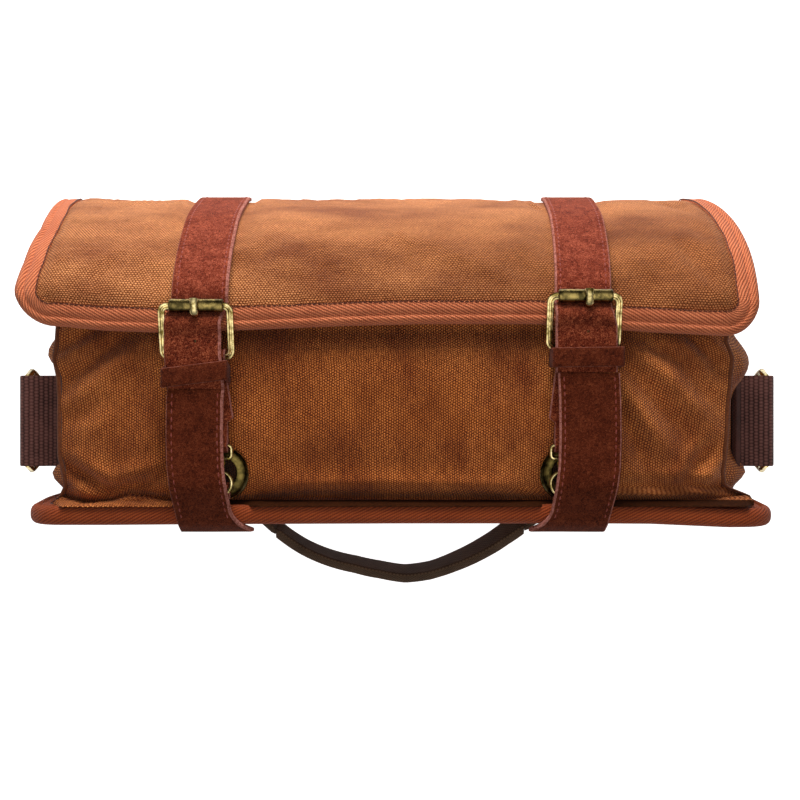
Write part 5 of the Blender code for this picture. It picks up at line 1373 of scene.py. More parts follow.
@dataclass
class StrapSet:
    """One buckled strap with its keeper, hanging end, hanger strap, snap hook and anchor ring."""

    side: Side
    middle: float
    top_middle: float
    roller_y: float
    keeper_drop: float
    ring_x: float
    keeper_tilt: float
    crest: float = 0.0
    drift: Sequence[float] = (0.0, 0.0, 0.0, 0.0)
    extra: float = 0.0
    frame_shift: float = 0.0
    roller_shift: float = 0.0
    prong_shift: float = 0.0
    keeper_shift: Sequence[float] = (0.0, 0.0)
    keeper_wide: float = 1.0
    raw: Sequence[float] = (0.0004, 0.0014)
    width: float = 0.029
    thick: float = 0.0028
    roller_radius: float = 0.0035
    spacing: float = 0.027
    tilt: float = math.radians(18)
    hanger_thick: float = 0.0022

    def __post_init__(self) -> None:
        """Work out the heights that the pieces share."""
        self.roller_z = FLAP_TOP + self.thick + 2 * GAP + self.roller_radius
        self.pivot_y = self.roller_y - self.spacing * math.cos(self.tilt)
        self.pivot_z = self.roller_z - self.spacing * math.sin(self.tilt)
        self.hook_z = FLAP_TOP - 0.0018
        self.tail_z = self.hook_z + 0.0068 + 2 * GAP + self.thick / 2
        self.keeper_y = self.pivot_y - self.keeper_drop
        self.tail_y = self.keeper_y - 0.005 - 0.0015
        self.eye_y = -0.0495
        self.hook_x = self.middle - self.side.value * 0.010

    def word(self, piece: str) -> str:
        """Return a piece's name with its side."""
        return f"{self.side.word}_{piece}"

    def in_buckle(self, along: float, off: float) -> tuple[float, float]:
        """Return (y, z) at a distance from the pivot to the roller and one above the buckle's plane."""
        y = self.pivot_y + along * math.cos(self.tilt) - off * math.sin(self.tilt)
        z = self.pivot_z + along * math.sin(self.tilt) + off * math.cos(self.tilt)
        return y, z

    def span(self, count: int, inward: float = 0.0, width: float | None = None) -> np.ndarray:
        """Return the same low and high X for each point of a strap."""
        half = (width or self.width) / 2
        centre = self.middle - self.side.value * inward
        return level_spans(centre - half, centre + half, count)

    def strip(
        self, name: str, path: np.ndarray, spans: np.ndarray, thickness: float, body: str, node: str, paint: Paint,
        wave: float = 0.0, columns: int = 14,
    ) -> None:
        """Make one suede strip and hand it over.

        Args:
            name: The piece's name without its side.
            path: The strip's middle line in side view.
            spans: Its low and high X at each point.
            thickness: Its thickness.
            body: The body that it rides on.
            node: The CAD node that it stands for, without its side.
            paint: The finishes.
            wave: How high the leather's soft waves are.
            columns: Steps across.
        """
        # Pieces off the flap take the darkest copy of the leather: painted shade.
        leather = paint["suede"] if body == "flap" else paint["deep_shaded_suede"]

        def ripple(across: np.ndarray, along: np.ndarray) -> np.ndarray:
            """Return the leather's soft waves."""
            return wave * noise_at(across * 1.6, along * 38.0, self.side.value * 5.0)

        skin = ribbon(path, spans, thickness, 0, self.raw, columns=columns, ripple=ripple if wave else None)
        made = skin.build(self.word(name), [leather, paint["edge"]])
        settle(made, body, [self.word(node)])

    def place_brass(
        self, skin: Lattice, name: str, body: str, paint: Paint, node: str = "", finish: str = "brass",
        sharp: float = 50.0,
    ) -> None:
        """Make one brass piece and hand it over.

        Args:
            skin: Its lattice.
            name: Its name without the side.
            body: The body that it rides on, without the side.
            paint: The finishes.
            node: The CAD node that it stands for, without the side, if any.
            finish: Its finish.
            sharp: The angle in degrees past which an edge isn't smoothed.
        """
        made = skin.build(self.word(name), [paint[finish]], sharp)
        settle(made, self.word(body), [self.word(node)] if node else [])

    def flap_strap_path(self, line: PanelLine) -> tuple[np.ndarray, np.ndarray]:
        """Return the sewn strap's middle line and its spans, from the hinge to the roller."""
        marks = np.linspace(0.006, line.length, 160)
        press = STRAP_PRESS * np.clip((0.46 - marks / line.length) / 0.2, 0.0, 1.0)
        there = line.place(np.zeros_like(marks), marks, press - GAP - self.thick / 2)[:, 1:]
        keep = there[there[:, 0] > self.roller_y + 0.0006]
        path = np.vstack([keep, [(self.roller_y + 0.00015, FLAP_TOP + GAP + self.thick / 2)]])
        share = (path[:, 0] - self.roller_y) / (HINGE_Y - self.roller_y)
        centre = self.middle + (self.top_middle - self.middle) * share
        return path, np.stack([centre - self.width / 2, centre + self.width / 2], axis=1)

    def build_flap_strap(self, line: PanelLine, tree: StitchTree, paint: Paint) -> None:
        """Make the strap that is sewn along the flap, with a stitch line near each edge."""
        path, spans = self.flap_strap_path(line)
        self.strip("sewn_strap", path, spans, self.thick, "flap", "flap_strap", paint)
        self.sew_edges("sewn_strap_stitches", path, spans, "", tree, paint)

    def sew_edges(
        self, name: str, path: np.ndarray, spans: np.ndarray, body: str, tree: StitchTree, paint: Paint
    ) -> None:
        """Sew a line of stitches near each edge of a strap, on its outer face.

        Args:
            name: The piece's name without its side.
            path: The strap's middle line.
            spans: Its low and high X.
            body: The body's name without its side, or nothing for the flap.
            tree: The stitch tree.
            paint: The finishes.
        """
        slope = directions(path)
        out = np.stack([-slope[:, 1], slope[:, 0]], axis=1)
        out *= 1.0 if out[len(out) // 2, 1] > 0 else -1.0
        face = path + out * (self.thick / 2 - 0.0001)
        lines = [np.column_stack([spans[:, 0] + 0.0029, face]), np.column_stack([spans[:, 1] - 0.0029, face])]
        sewn = tree.sew(self.word(name), lines, paint["red_thread"], 0.0038, 0.0026, 0.0008)
        settle(sewn, self.word(body) if body else "flap")

    def build_threaded_strap(self, paint: Paint) -> None:
        """Make the stretch under the roller, over the prong and the pivot, and through the keeper."""
        under = self.roller_radius + GAP + self.thick / 2
        path = [(self.roller_y - 0.00015, self.roller_z - under)]
        path += arc((self.roller_y, self.roller_z), under, -90.0, -150.0, 6)[1:]
        path += [self.in_buckle(0.0207, 0.0018), self.in_buckle(0.0192, 0.0036 + self.crest)]
        path += [self.in_buckle(0.0165, 0.0043 + self.crest), self.in_buckle(0.0120, 0.0042 + 0.6 * self.crest)]
        path += [(self.pivot_y + 0.004, self.tail_z + 0.0002), (self.keeper_y + 0.005, self.tail_z)]
        path += [(self.tail_y + 0.00015, self.tail_z)]
        smooth = resample(round_corners(np.array(path), 1), 0.0011)
        body = self.word("buckle")
        marks = run_lengths(smooth)
        spans = self.span(len(smooth)) + np.interp(marks / marks[-1], (0.0, 0.25, 0.6, 1.0), self.drift)[:, None]
        spans[:, 1] += self.extra * np.clip((marks - 0.010) / 0.008, 0.0, 1.0)
        skin = ribbon(smooth, spans, self.thick, 0, self.raw, columns=16)
        # Darker copy of the strap's leather: painted shade.
        strap = skin.build(self.word("threaded_strap"), [paint["shaded_suede"], paint["edge"]])
        y, _ = self.in_buckle(0.0218, 0.0)
        hole = self.middle + self.prong_shift
        cut_slot(strap, (hole, y, self.roller_z), (0.0015, 0.0016), paint["shadow"])
        cut_slot(strap, (hole, self.roller_y - 0.0182, self.roller_z), (0.0007, 0.0007), paint["shadow"])
        settle(strap, body, [self.word("buckle_strap")])

    def build_tail(self, tree: StitchTree, paint: Paint) -> None:
        """Make the hanging strap end, which lies over the front and round the flange."""
        bead_y, bead_z = -0.084, 0.120
        bead = math.hypot(0.005, 0.0031) + 2 * GAP + self.thick / 2
        turn = arc((bead_y, bead_z), bead, 120.0, 150.0, 5)
        out = math.radians(240.0)
        tip = (turn[-1][0] + 0.0052 * math.cos(out), turn[-1][1] + 0.0052 * math.sin(out))
        start = self.tail_y - 0.00015
        path = [(y, self.tail_z) for y in (start, (start - 0.070) / 2, -0.067)] + [(-0.072, self.tail_z - 0.001)]
        smooth = resample(round_corners(np.array(path + turn + [tip]), 1), 0.0016)
        share = np.clip((-0.070 - smooth[:, 0]) / (-0.070 - tip[0]), 0.0, 1.0)
        bends = ((-0.070, -0.0004), (-0.060, -0.0016), (-0.045, -0.0020), (-0.025, -0.0018), (start, -0.0012))
        flow = np.interp(smooth[:, 0], *zip(*bends))
        shift = -self.side.value * (0.0032 * share + flow)
        spans = self.span(len(smooth)) + shift[:, None]
        inner = 1 if self.side is Side.LEFT else 0
        flung = np.clip((run_lengths(smooth) - run_lengths(smooth)[-1] + 0.015) / 0.015, 0.0, 1.0)
        spans[:, inner] -= self.side.value * 0.0092 * flung**1.6
        spans[:, 1] += self.extra * (1 - 0.4 * share)
        self.strip("hanging_strap", smooth, spans, self.thick, self.word("tail"), "tail_strap", paint, 0.0001)
        self.sew_edges("hanging_strap_stitches", smooth[2:-8], spans[2:-8], "tail", tree, paint)

    def build_keeper(self, paint: Paint) -> None:
        """Make the suede loop that holds the strap end down."""
        wall, slack = 0.0018, 0.0004
        half = self.width / 2 + slack + wall / 2
        fall = (self.hook_z - self.pivot_z) / (self.pivot_y - self.eye_y)
        hanger = self.pivot_z + fall * (self.pivot_y - self.keeper_y)
        low = hanger - 0.0002 - self.hanger_thick
        if self.keeper_drop - 0.005 < 0.0018 + self.hanger_thick:
            low = self.pivot_z - 0.0031 - 0.0012
        low -= slack + wall / 2
        high = self.tail_z + self.thick / 2 + slack + wall / 2
        outline = np.array(rounded_loop(half, low, high, 0.0012, 3))
        centre = outline.mean(axis=0)
        shares = np.array([-0.5, -0.47, -0.42, -0.2, 0.0, 0.2, 0.42, 0.47, 0.5])
        thick = np.array([0.28, 0.42, 0.5, 0.5, 0.5, 0.5, 0.5, 0.42, 0.28]) * wall
        grid = np.zeros((len(outline), 2 * len(shares), 3))
        for row, (x, z) in enumerate(outline):
            before, after = outline[row - 1], outline[(row + 1) % len(outline)]
            run = (after - before) / np.linalg.norm(after - before)
            out = np.array([run[1], -run[0]])
            if out @ (outline[row] - centre) < 0:
                out = -out
            for column in range(2 * len(shares)):
                index = column if column < len(shares) else 2 * len(shares) - 1 - column
                sign = 1 if column < len(shares) else -1
                slip = math.tan(self.keeper_tilt) * x if z > centre[1] else -math.tan(self.keeper_tilt) * x * 0.2
                grid[row, column] = (
                    self.middle + self.keeper_shift[0] + x * self.keeper_wide + out[0] * sign * thick[index],
                    self.keeper_y + self.keeper_shift[1] + shares[index] * 0.010 + slip,
                    z + out[1] * sign * thick[index],
                )
        across = np.concatenate([shares * 0.01, 0.02 + shares * 0.01, [0.03]])
        marks = run_lengths(np.vstack([outline, outline[:1]]))
        count = len(shares)
        skin = Lattice(grid, across, marks, closed_rows=True, closed_columns=True,
                       slots=lambda _r, c: 1 if c % count in (0, count - 2, count - 1) else 0)
        # Darkest copy of the leather and a darker copy of its cut edge: painted shade.
        keeper = skin.build(self.word("suede_keeper"), [paint["deep_shaded_suede"], paint["shaded_edge"]])
        settle(keeper, self.word("buckle"), [self.word("keeper")])

    def build_hanger(self, paint: Paint) -> None:
        """Make the folded hanger strap from the buckle's pivot to the hook's eye."""
        layer = (0.0004 + self.hanger_thick) / 2
        fall = (self.hook_z - self.pivot_z) / (self.pivot_y - self.eye_y)

        def middle(y: float) -> float:
            """Return the strap's middle height at a place."""
            return self.pivot_z + fall * (self.pivot_y - y)

        top_radius = 0.0018 + self.hanger_thick / 2
        eye_radius = 0.0014 + self.hanger_thick / 2
        near_top = self.pivot_y - top_radius - self.hanger_thick / 2
        near_eye = self.eye_y + eye_radius + self.hanger_thick / 2
        neck = self.eye_y + 0.012
        wide, low, tongue = (0.0028, 0.020), (0.007, 0.020), (0.010, 0.008)
        route: list[tuple[float, float, tuple[float, float]]] = []
        route.append((self.pivot_y - 0.014, middle(self.pivot_y - 0.014) - layer, wide))
        route.append((near_top, middle(near_top) - layer, wide))
        route += [(y, z, wide) for y, z in arc((self.pivot_y, self.pivot_z), top_radius, -120.0, 120.0, 12)]
        route.append((near_top, middle(near_top) + layer, wide))
        route.append((neck + self.hanger_thick, middle(neck) + layer, low))
        route.append((neck, middle(neck) + layer, tongue))
        route.append((near_eye, middle(near_eye) + layer, tongue))
        route += [(y, z, tongue) for y, z in arc((self.eye_y, self.hook_z), eye_radius, 60.0, 300.0, 10)]
        route.append((near_eye, middle(near_eye) - layer, tongue))
        route.append((neck - self.hanger_thick, middle(neck) - layer, tongue))
        path = np.array([(y, z) for y, z, _ in route])
        spans = np.vstack([self.span(1, inward, width) for _, _, (inward, width) in route])
        skin = ribbon(path, spans, self.hanger_thick, 0, columns=10)
        # Darker copy of the leather: painted shade.
        hanger = skin.build(self.word("folded_hanger"), [paint["shaded_suede"], paint["edge"]])
        cut_slot(hanger, (self.middle, self.pivot_y + 0.0027, self.pivot_z), (0.0021, 0.0080), paint["edge"])
        settle(hanger, self.word("buckle"), [self.word("hanger_strap")])

    def build_buckle(self, paint: Paint) -> None:
        """Make the grooved frame, the roller and the prong."""
        corner, half = 0.0034, 0.0175
        outline = rounded_loop(half, 0.0, self.spacing, corner, 8)
        dense = []
        for index, point in enumerate(outline):
            after = outline[(index + 1) % len(outline)]
            steps = max(int(math.hypot(after[0] - point[0], after[1] - point[1]) / 0.002), 1)
            dense += [(point[0] + (after[0] - point[0]) * s / steps, point[1] + (after[1] - point[1]) * s / steps)
                      for s in range(steps)]
        path = np.array([(self.middle + self.frame_shift + x, *self.in_buckle(along, 0.0)) for x, along in dense])
        normal = (0.0, -math.sin(self.tilt), math.cos(self.tilt))
        groove = [(-0.0018, -0.0004), (-0.0018, 0.0008), (-0.0015, 0.0012), (-0.0007, 0.0013), (-0.0003, 0.0005),
                  (0.0003, 0.0005), (0.0007, 0.0013), (0.0015, 0.0012), (0.0018, 0.0008), (0.0018, -0.0004),
                  (0.0013, -0.0011), (0.0005, -0.0014), (-0.0005, -0.0014), (-0.0013, -0.0011)]
        frame = sweep(path, normal, groove, True)
        self.place_brass(frame, "grooved_frame", "buckle", paint, "buckle_frame", sharp=22.0)
        length = half - corner - GAP
        outline = [(0.0019, -length), (0.0030, -length), (0.0034, -length + 0.0003), (0.0035, -length + 0.0009),
                   (0.0035, length - 0.0009), (0.0034, length - 0.0003), (0.0030, length), (0.0019, length)]
        centre = (self.middle + self.roller_shift, self.roller_y, self.roller_z)
        tube = turned(centre, (1, 0, 0), (0, 1, 0), outline, 40)
        # The roller takes the darker copy of the brass: painted shade.
        self.place_brass(tube, "turned_roller", "roller", paint, "roller", "shaded_roller_brass")
        self.build_prong(paint)

    def build_prong(self, paint: Paint) -> None:
        """Make the prong: a loop round the pivot, a straight shaft and a tip bent over the roller."""
        rest = self.roller_radius + GAP + 0.0012
        route = arc((0.0, 0.0), 0.0031, 320.0, 30.0, 16)
        route += [(0.0031 + 0.0024, 0.0)]
        bends = ((-0.0066, 0.0), (-0.0053, 0.0010), (-0.0044, 0.0036), (-0.0030, rest), (0.0030, rest + 0.0001))
        route += [(self.spacing + a, b) for a, b in (*bends, (0.0046, rest - 0.0010))]
        smooth = np.vstack([np.array(route[:17]), resample(np.array(route[16:]), 0.001)[1:]])
        middle = self.middle + self.prong_shift
        path = np.array([(middle, *self.in_buckle(a, b)) for a, b in smooth])
        prong = sweep(path, (1, 0, 0), circle_section(0.0012, 12), False)
        from_tip = len(path) - np.arange(len(path))
        spread = np.interp(from_tip, (1, 5, 9, 12), (1.9, 1.5, 2.0, 1.0))
        prong.grid[:, :, 0] = middle + (prong.grid[:, :, 0] - middle) * spread[:, None]
        self.place_brass(prong, "bent_prong", "prong", paint, "prong")

    def build_hook(self, paint: Paint) -> None:
        """Make the eye with its collar, the hook on its shank, and the gate."""
        x, z, sign = self.hook_x, self.hook_z, self.side.value
        flat, wire = (0, 0, 1), circle_section(0.0011, 12)
        low_y = self.eye_y - 0.0066
        path = np.array([(x + a, b, z) for a, b in rounded_loop(0.0056, low_y, self.eye_y, 0.0018, 6)])
        self.place_brass(sweep(path, flat, wire, True), "hook_loop", "buckle", paint, "hook_eye")
        top = low_y + 0.0022 * 0.4
        ribs = [(0.0014, -0.0002), (0.0022, -0.0002), (0.0026, 0.0004), (0.0026, 0.0014), (0.0021, 0.0018),
                (0.0021, 0.0024), (0.0025, 0.0028), (0.0025, 0.0040), (0.0021, 0.0044), (0.0021, 0.0050),
                (0.0024, 0.0053), (0.0020, 0.0056), (0.0014, 0.0056)]
        self.place_brass(turned((x, top, z), (0, -1, 0), (1, 0, 0), ribs, 24), "hook_collar", "buckle", paint)
        end = top - 0.0056
        centre_y = end - GAP - 0.0011 - 0.0068
        ring = 0.0068 - 0.0011
        turns = np.radians(np.linspace(90.0, 340.0, 48))
        loop = np.stack([x + sign * ring * np.cos(turns), centre_y + ring * np.sin(turns), np.full(48, z)], axis=1)
        size = np.interp(np.arange(48), [0, 6, 40, 47], [1.1, 1.0, 1.0, 0.8])
        self.place_brass(sweep(loop, flat, wire, False, size), "snap_hook", "hook", paint, "hook_body")
        head = low_y + 0.0014 - end
        shank = [(0.0, head + 0.0009), (0.0017, head + 0.0009), (0.0019, head + 0.0002), (0.0011, head),
                 (0.0011, -GAP), (0.0018, -GAP * 1.5), (0.0018, -0.0014), (0.0010, -0.0022), (0.0, -0.0022)]
        self.place_brass(turned((x, end, z), (0, 1, 0), (1, 0, 0), shank, 16), "hook_shank", "hook", paint)
        angles = np.radians((90.0, 62.0, -20.0))
        crown, knuckle, tip = np.stack(
            [x + sign * ring * np.cos(angles), centre_y + ring * np.sin(angles), np.full(3, z)], axis=1
        )
        bridge = np.array([crown, (crown + knuckle) / 2, knuckle])
        self.place_brass(sweep(bridge, flat, wire), "hook_bridge", "hook", paint)
        run = (tip - knuckle) / np.linalg.norm(tip - knuckle)
        start, stop = knuckle + run * (0.0011 + GAP), tip - run * (0.0011 + GAP)
        leaf = [(-0.0005, -0.0007), (-0.0003, -0.0009), (0.0003, -0.0009), (0.0005, -0.0007), (0.0005, 0.0007),
                (0.0003, 0.0009), (-0.0003, 0.0009), (-0.0005, 0.0007)]
        steps = np.linspace(0.0, 1.0, 6)[:, None]
        self.place_brass(sweep(start + (stop - start) * steps, flat, leaf), "spring_gate", "gate", paint, "gate")

    def build_ring(self, front: FrontBody, paint: Paint) -> None:
        """Make the dished anchor ring and its suede tab."""
        tilt, bore = math.radians(12), 0.0085
        y = -0.0638
        z = float(front.height(np.array([y]))[0]) + 0.0015
        up = (0.0, -math.sin(tilt), math.cos(tilt))
        outline = [(0.0085, -0.0005), (0.0089, -0.0007), (0.0120, -0.0006), (0.0145, -0.0002), (0.0150, 0.0004),
                   (0.0151, 0.0012), (0.0148, 0.0016), (0.0143, 0.0013), (0.0139, 0.0003), (0.0124, -0.0002),
                   (0.0103, -0.0003), (0.0089, 0.0000), (0.0085, -0.0001)]
        ring = turned((self.ring_x, y, z), up, (1, 0, 0), outline, 64)
        # The dish and the underside take the darker copy of the brass: painted shade in the bowl; the raised rim keeps
        # the plain brass.
        ring.slots = lambda _row, column: 0 if 3 <= column <= 7 else 1
        ring = ring.build(self.word("dished_ring"), [paint["brass"], paint["dish_shade_brass"]], 60.0)
        settle(ring, self.word("ring"), [self.word("anchor_ring")])
        thick, root_y = 0.0010, WALL_Y + 2 * GAP
        clear = 0.0007 + 0.0005 + GAP + thick / 2
        inner = math.sqrt(bore**2 - 0.005**2) - GAP - thick / 2
        outer = inner + thick
        root = (root_y - y) / math.cos(tilt) + clear * math.tan(tilt) + thick
        low_root = (root_y - y) / math.cos(tilt) + thick
        route = [(root, clear), (-outer, clear), (-inner, clear - thick)]
        route += [(-inner, thick - clear), (-outer, -clear), (low_root, -clear)]
        turn = np.array([(math.cos(tilt), math.sin(tilt)), (-math.sin(tilt), math.cos(tilt))])
        path = round_corners(np.array([y, z]) + np.array(route) @ turn, 1)
        spans = level_spans(self.ring_x - 0.005, self.ring_x + 0.005, len(path))
        skin = ribbon(path, spans, thick, 0, columns=6)
        # Darker copy of the leather: painted shade.
        tab = skin.build(self.word("suede_ring_tab"), [paint["shaded_suede"], paint["edge"]])
        settle(tab, self.word("ring"), [self.word("ring_tab")])

    def build(self, line: PanelLine, front: FrontBody, tree: StitchTree, paint: Paint) -> None:
        """Build everything on this strap."""
        self.build_flap_strap(line, tree, paint)
        self.build_threaded_strap(paint)
        self.build_tail(tree, paint)
        self.build_keeper(paint)
        self.build_hanger(paint)
        self.build_buckle(paint)
        self.build_hook(paint)
        self.build_ring(front, paint)


def cut_slot(
    piece: bpy.types.Object, centre: tuple[float, float, float], half: tuple[float, float], raw: bpy.types.Material
) -> None:
    """Cut a round-ended slot down through a strap and bake the result.

    Args:
        piece: The strap.
        centre: The slot's middle.
        half: Its half width in X and half length in Y.
        raw: The material of the cut faces.
    """
    x, y, z = centre
    wide, long = half
    ends = arc((x, y + long - wide), wide, 0.0, 180.0, 6) + arc((x, y - long + wide), wide, 180.0, 360.0, 6)
    levels = [z - 0.02, z + 0.02]
    points = [(a, b, level) for level in levels for a, b in ends]
    count = len(ends)
    faces = [tuple(range(count)), tuple(range(count, 2 * count))]
    faces += [(i, (i + 1) % count, count + (i + 1) % count, count + i) for i in range(count)]
    mesh = bpy.data.meshes.new("slot_cutter")
    mesh.from_pydata(points, [], faces)
    mesh.materials.append(raw)
    turn_outwards(mesh)
    cutter = new_object("slot_cutter", mesh)
    cut = piece.modifiers.new("Slot", "BOOLEAN")
    cut.operation = "DIFFERENCE"
    cut.solver = "EXACT"
    cut.object = cutter
    as_mesh(piece)
    bpy.data.objects.remove(cutter)
    piece.data.shade_smooth()
    piece.data.set_sharp_from_angle(angle=math.radians(50))


# Ends, handle and inside


@dataclass
class EndTab:
    """A webbing tab sewn to one end, with the wire ring that hangs in it."""

    side: Side
    middle_y: float = -0.0375
    z: float = 0.075
    width: float = 0.050
    thick: float = 0.002
    seat: float = 0.1840
    reach: float = 0.0220
    wire: float = 0.004

    def build(self, tree: StitchTree, paint: Paint) -> None:
        """Make the tab, its stitches and its ring."""
        sign, word = self.side.value, self.side.word
        bar = self.seat + self.reach
        radius = self.wire / 2 + GAP + self.thick / 2
        foot = self.seat + self.thick / 2
        leg = [(foot, radius + 0.012), (foot, radius + self.thick), (foot + self.thick, radius)]
        path = [(x, self.z + rise) for x, rise in leg]
        path += arc((bar, self.z), radius, 90.0, -90.0, 12)
        path += [(x, self.z - rise) for x, rise in reversed(leg)]
        line = np.array(path)
        line[:, 0] *= sign
        line = resample(line, 0.0012)
        low, high = self.middle_y - self.width / 2, self.middle_y + self.width / 2
        skin = ribbon(line, level_spans(low, high, len(line)), self.thick, 1, edge=0.0009, columns=24)
        tab = skin.build(word + "_webbing_tab", [paint["webbing"], paint["webbing"]])
        settle(tab, "shell", [word + "_end_tab"])
        rows = []
        ys = np.linspace(low + 0.003, high - 0.003, 20)
        for away in (radius + 0.0045, radius + 0.0095, -radius - 0.0045, -radius - 0.0095):
            z = self.z + away
            rows.append(np.stack([np.full(20, sign * (foot + self.thick / 2 + 0.0001)), ys, np.full(20, z)], axis=1))
        sewn = tree.sew(word + "_tab_stitches", rows, paint["dark_thread"], 0.003, 0.0023, 0.0006)
        settle(sewn, "shell")
        turns = np.linspace(0.0, math.pi, 49)
        half = self.width / 2 + 2 * GAP + self.wire / 2
        y = self.middle_y + half * np.sign(np.cos(turns)) * np.abs(np.cos(turns)) ** 0.75
        z = self.z - 0.032 * np.abs(np.sin(turns)) ** 0.85
        arch = np.stack([np.full_like(y, sign * bar), y, z], axis=1)
        ends = (self.middle_y - half + 0.0034, self.middle_y + half - 0.0034)
        straight = np.stack([np.full(18, sign * bar), np.linspace(*ends, 18), np.full(18, self.z)], axis=1)
        loop = np.vstack([arch[3:-3], straight])
        ring = sweep(loop, (1, 0, 0), circle_section(self.wire / 2 - 0.00005, 16), True)
        made = ring.build(word + "_wire_ring", [paint["brass"]])
        settle(made, word + "_d_ring", [word + "_d_ring"])


@dataclass
class Handle:
    """The webbing carrying handle: a loop between two sewn ends."""

    pivot_y: float = -0.0985
    z: float = 0.060
    width: float = 0.024
    thick: float = 0.005
    half_span: float = 0.069
    sag: float = 0.026

    def lean(self, grid: np.ndarray, share: np.ndarray) -> None:
        """Tip webbing so that its upper edge leans away from the wall.

        Args:
            grid: The lattice's points, changed in place.
            share: How far each row leans.
        """
        grid[:, :, 1] -= (grid[:, :, 2] - self.z) * share[:, None]

    def build(self, tree: StitchTree, paint: Paint) -> None:
        """Make the loop, its ends and their stitches."""
        radius = (self.half_span**2 + self.sag**2) / (2 * self.sag)
        reach = math.asin(self.half_span / radius)
        centre = (0.0, self.pivot_y - self.sag + radius)
        path = np.array(arc(centre, radius, -90 - math.degrees(reach), -90 + math.degrees(reach), 72))
        low, high = self.z - self.width / 2, self.z + self.width / 2
        skin = ribbon(path, level_spans(low, high, len(path)), self.thick, 2, edge=0.0012, columns=14)
        for row, x in ((0, -self.half_span), (-1, self.half_span)):
            skin.grid[row, :, 0] = x
        self.lean(skin.grid, np.interp(path[:, 0], (-0.069, -0.02, 0.02, 0.069), (0.08, 0.12, 0.14, 0.30)))
        slack = (0.0, 0.0006, 0.0017, 0.0028, 0.0023, 0.0006, 0.0011, 0.0028, 0.0040, 0.0048, 0.0044)
        places = (-0.069, -0.0537, -0.0395, -0.0254, -0.0113, 0.0028, 0.0170, 0.0310, 0.0452, 0.0593, 0.069)
        skin.grid[:, :, 1] += np.interp(path[:, 0], places, slack)[:, None]
        loop = skin.build("webbing_loop", [paint["handle"], paint["handle"]])
        settle(loop, "handle", ["handle_loop"])
        seat = HANDLE_WALL_Y - GAP - 0.0015
        rise = 0.0095 - GAP - 0.0015
        foot = self.half_span + rise / math.tan(reach)
        for side in Side:
            sign = side.value
            ends = ((foot + 0.003, seat - 0.0003), (self.half_span + GAP, self.pivot_y))
            line = np.array([(foot + 0.030, seat), (foot + 0.010, seat), *ends])
            line[:, 0] *= sign
            line = resample(line, 0.0015)
            line[:, 1] = np.minimum(line[:, 1], seat)
            skin = ribbon(line, level_spans(low, high, len(line)), 0.003, 2, edge=0.0008, columns=12)
            skin.grid[:, :, 1] = np.minimum(skin.grid[:, :, 1], HANDLE_WALL_Y - GAP)
            skin.grid[-1, :, 0] = sign * (self.half_span + GAP)
            raised = np.clip((-0.0895 - 0.0015 - line[:, 1]) / 0.0075, 0.0, 1.0)
            if sign > 0:
                skin.grid[:, :, 1] += 0.0044 * raised[:, None]
            self.lean(skin.grid, (0.30 if sign > 0 else 0.08) * raised)
            end = skin.build(side.word + "_webbing_end", [paint["handle"], paint["handle"]])
            settle(end, "shell", [side.word + "_handle_end"])
            near, far = sign * (foot + 0.006), sign * (foot + 0.027)
            bottom, top = low + 0.003, high - 0.003
            corners = ((near, bottom), (far, bottom), (far, top), (near, top), (near, bottom), (far, top))
            box = np.array([(x, seat - 0.0016, z) for x, z in corners])
            sewn = tree.sew(side.word + "_handle_stitches", [box], paint["dark_thread"], 0.003, 0.0023, 0.0007)
            settle(sewn, "shell")


@dataclass
class Inside:
    """The sheet of tool pockets and the strip of elastic loops on the back lining."""

    floor: float = 0.0103

    def arches(
        self, count: int, pitch: float, span: float, rise: float, steps: int = 20
    ) -> tuple[np.ndarray, np.ndarray]:
        """Return x and height of a sheet that is sewn down between arches."""
        xs, zs = [], []
        for index in range(count):
            middle = (index - (count - 1) / 2) * pitch
            for share in np.linspace(0.0, 1.0, steps + 1):
                xs.append(middle + span * (share - 0.5))
                zs.append(rise * math.sin(math.pi * share) ** 0.7 if 0 < share < 1 else 0.0)
        flat = (pitch - span) / 2
        return np.array([xs[0] - flat, *xs, xs[-1] + flat]), np.array([0.0, *zs, 0.0])

    def sheet(
        self, ys: np.ndarray, shares: np.ndarray, arch: tuple[np.ndarray, np.ndarray], thick: float
    ) -> Lattice:
        """Return a sheet whose arches rise by a share along its length."""
        xs, heights = arch
        x, y = np.meshgrid(xs, ys)
        z = self.floor + heights[None, :] * shares[:, None]
        low = np.stack([x, y, z], axis=-1)
        across = run_lengths(np.stack([xs, heights], axis=1))
        return two_faced(low + np.array([0.0, 0.0, thick]), low, across, ys + 1.0, 2.0)

    def build(self, paint: Paint) -> None:
        """Make the pockets and the loops."""
        ys = np.concatenate([np.linspace(-0.058, -0.050, 7), np.linspace(-0.050, 0.014, 20)[1:]])
        shares = smooth_step((ys + 0.058) / 0.008)
        pockets = self.sheet(ys, shares, self.arches(4, 0.080, 0.076, 0.0105), 0.0012)
        made = pockets.build("sewn_tool_pockets", [paint["lining"]])
        settle(made, "shell", ["tool_pockets"])
        ys = np.linspace(0.034, 0.059, 12)
        loops = self.sheet(ys, np.ones(12), self.arches(5, 0.064, 0.032, 0.0135), 0.0013)
        settle(loops.build("sewn_elastic_loops", [paint["elastic"]]), "shell", ["elastic_loops"])


# Studio


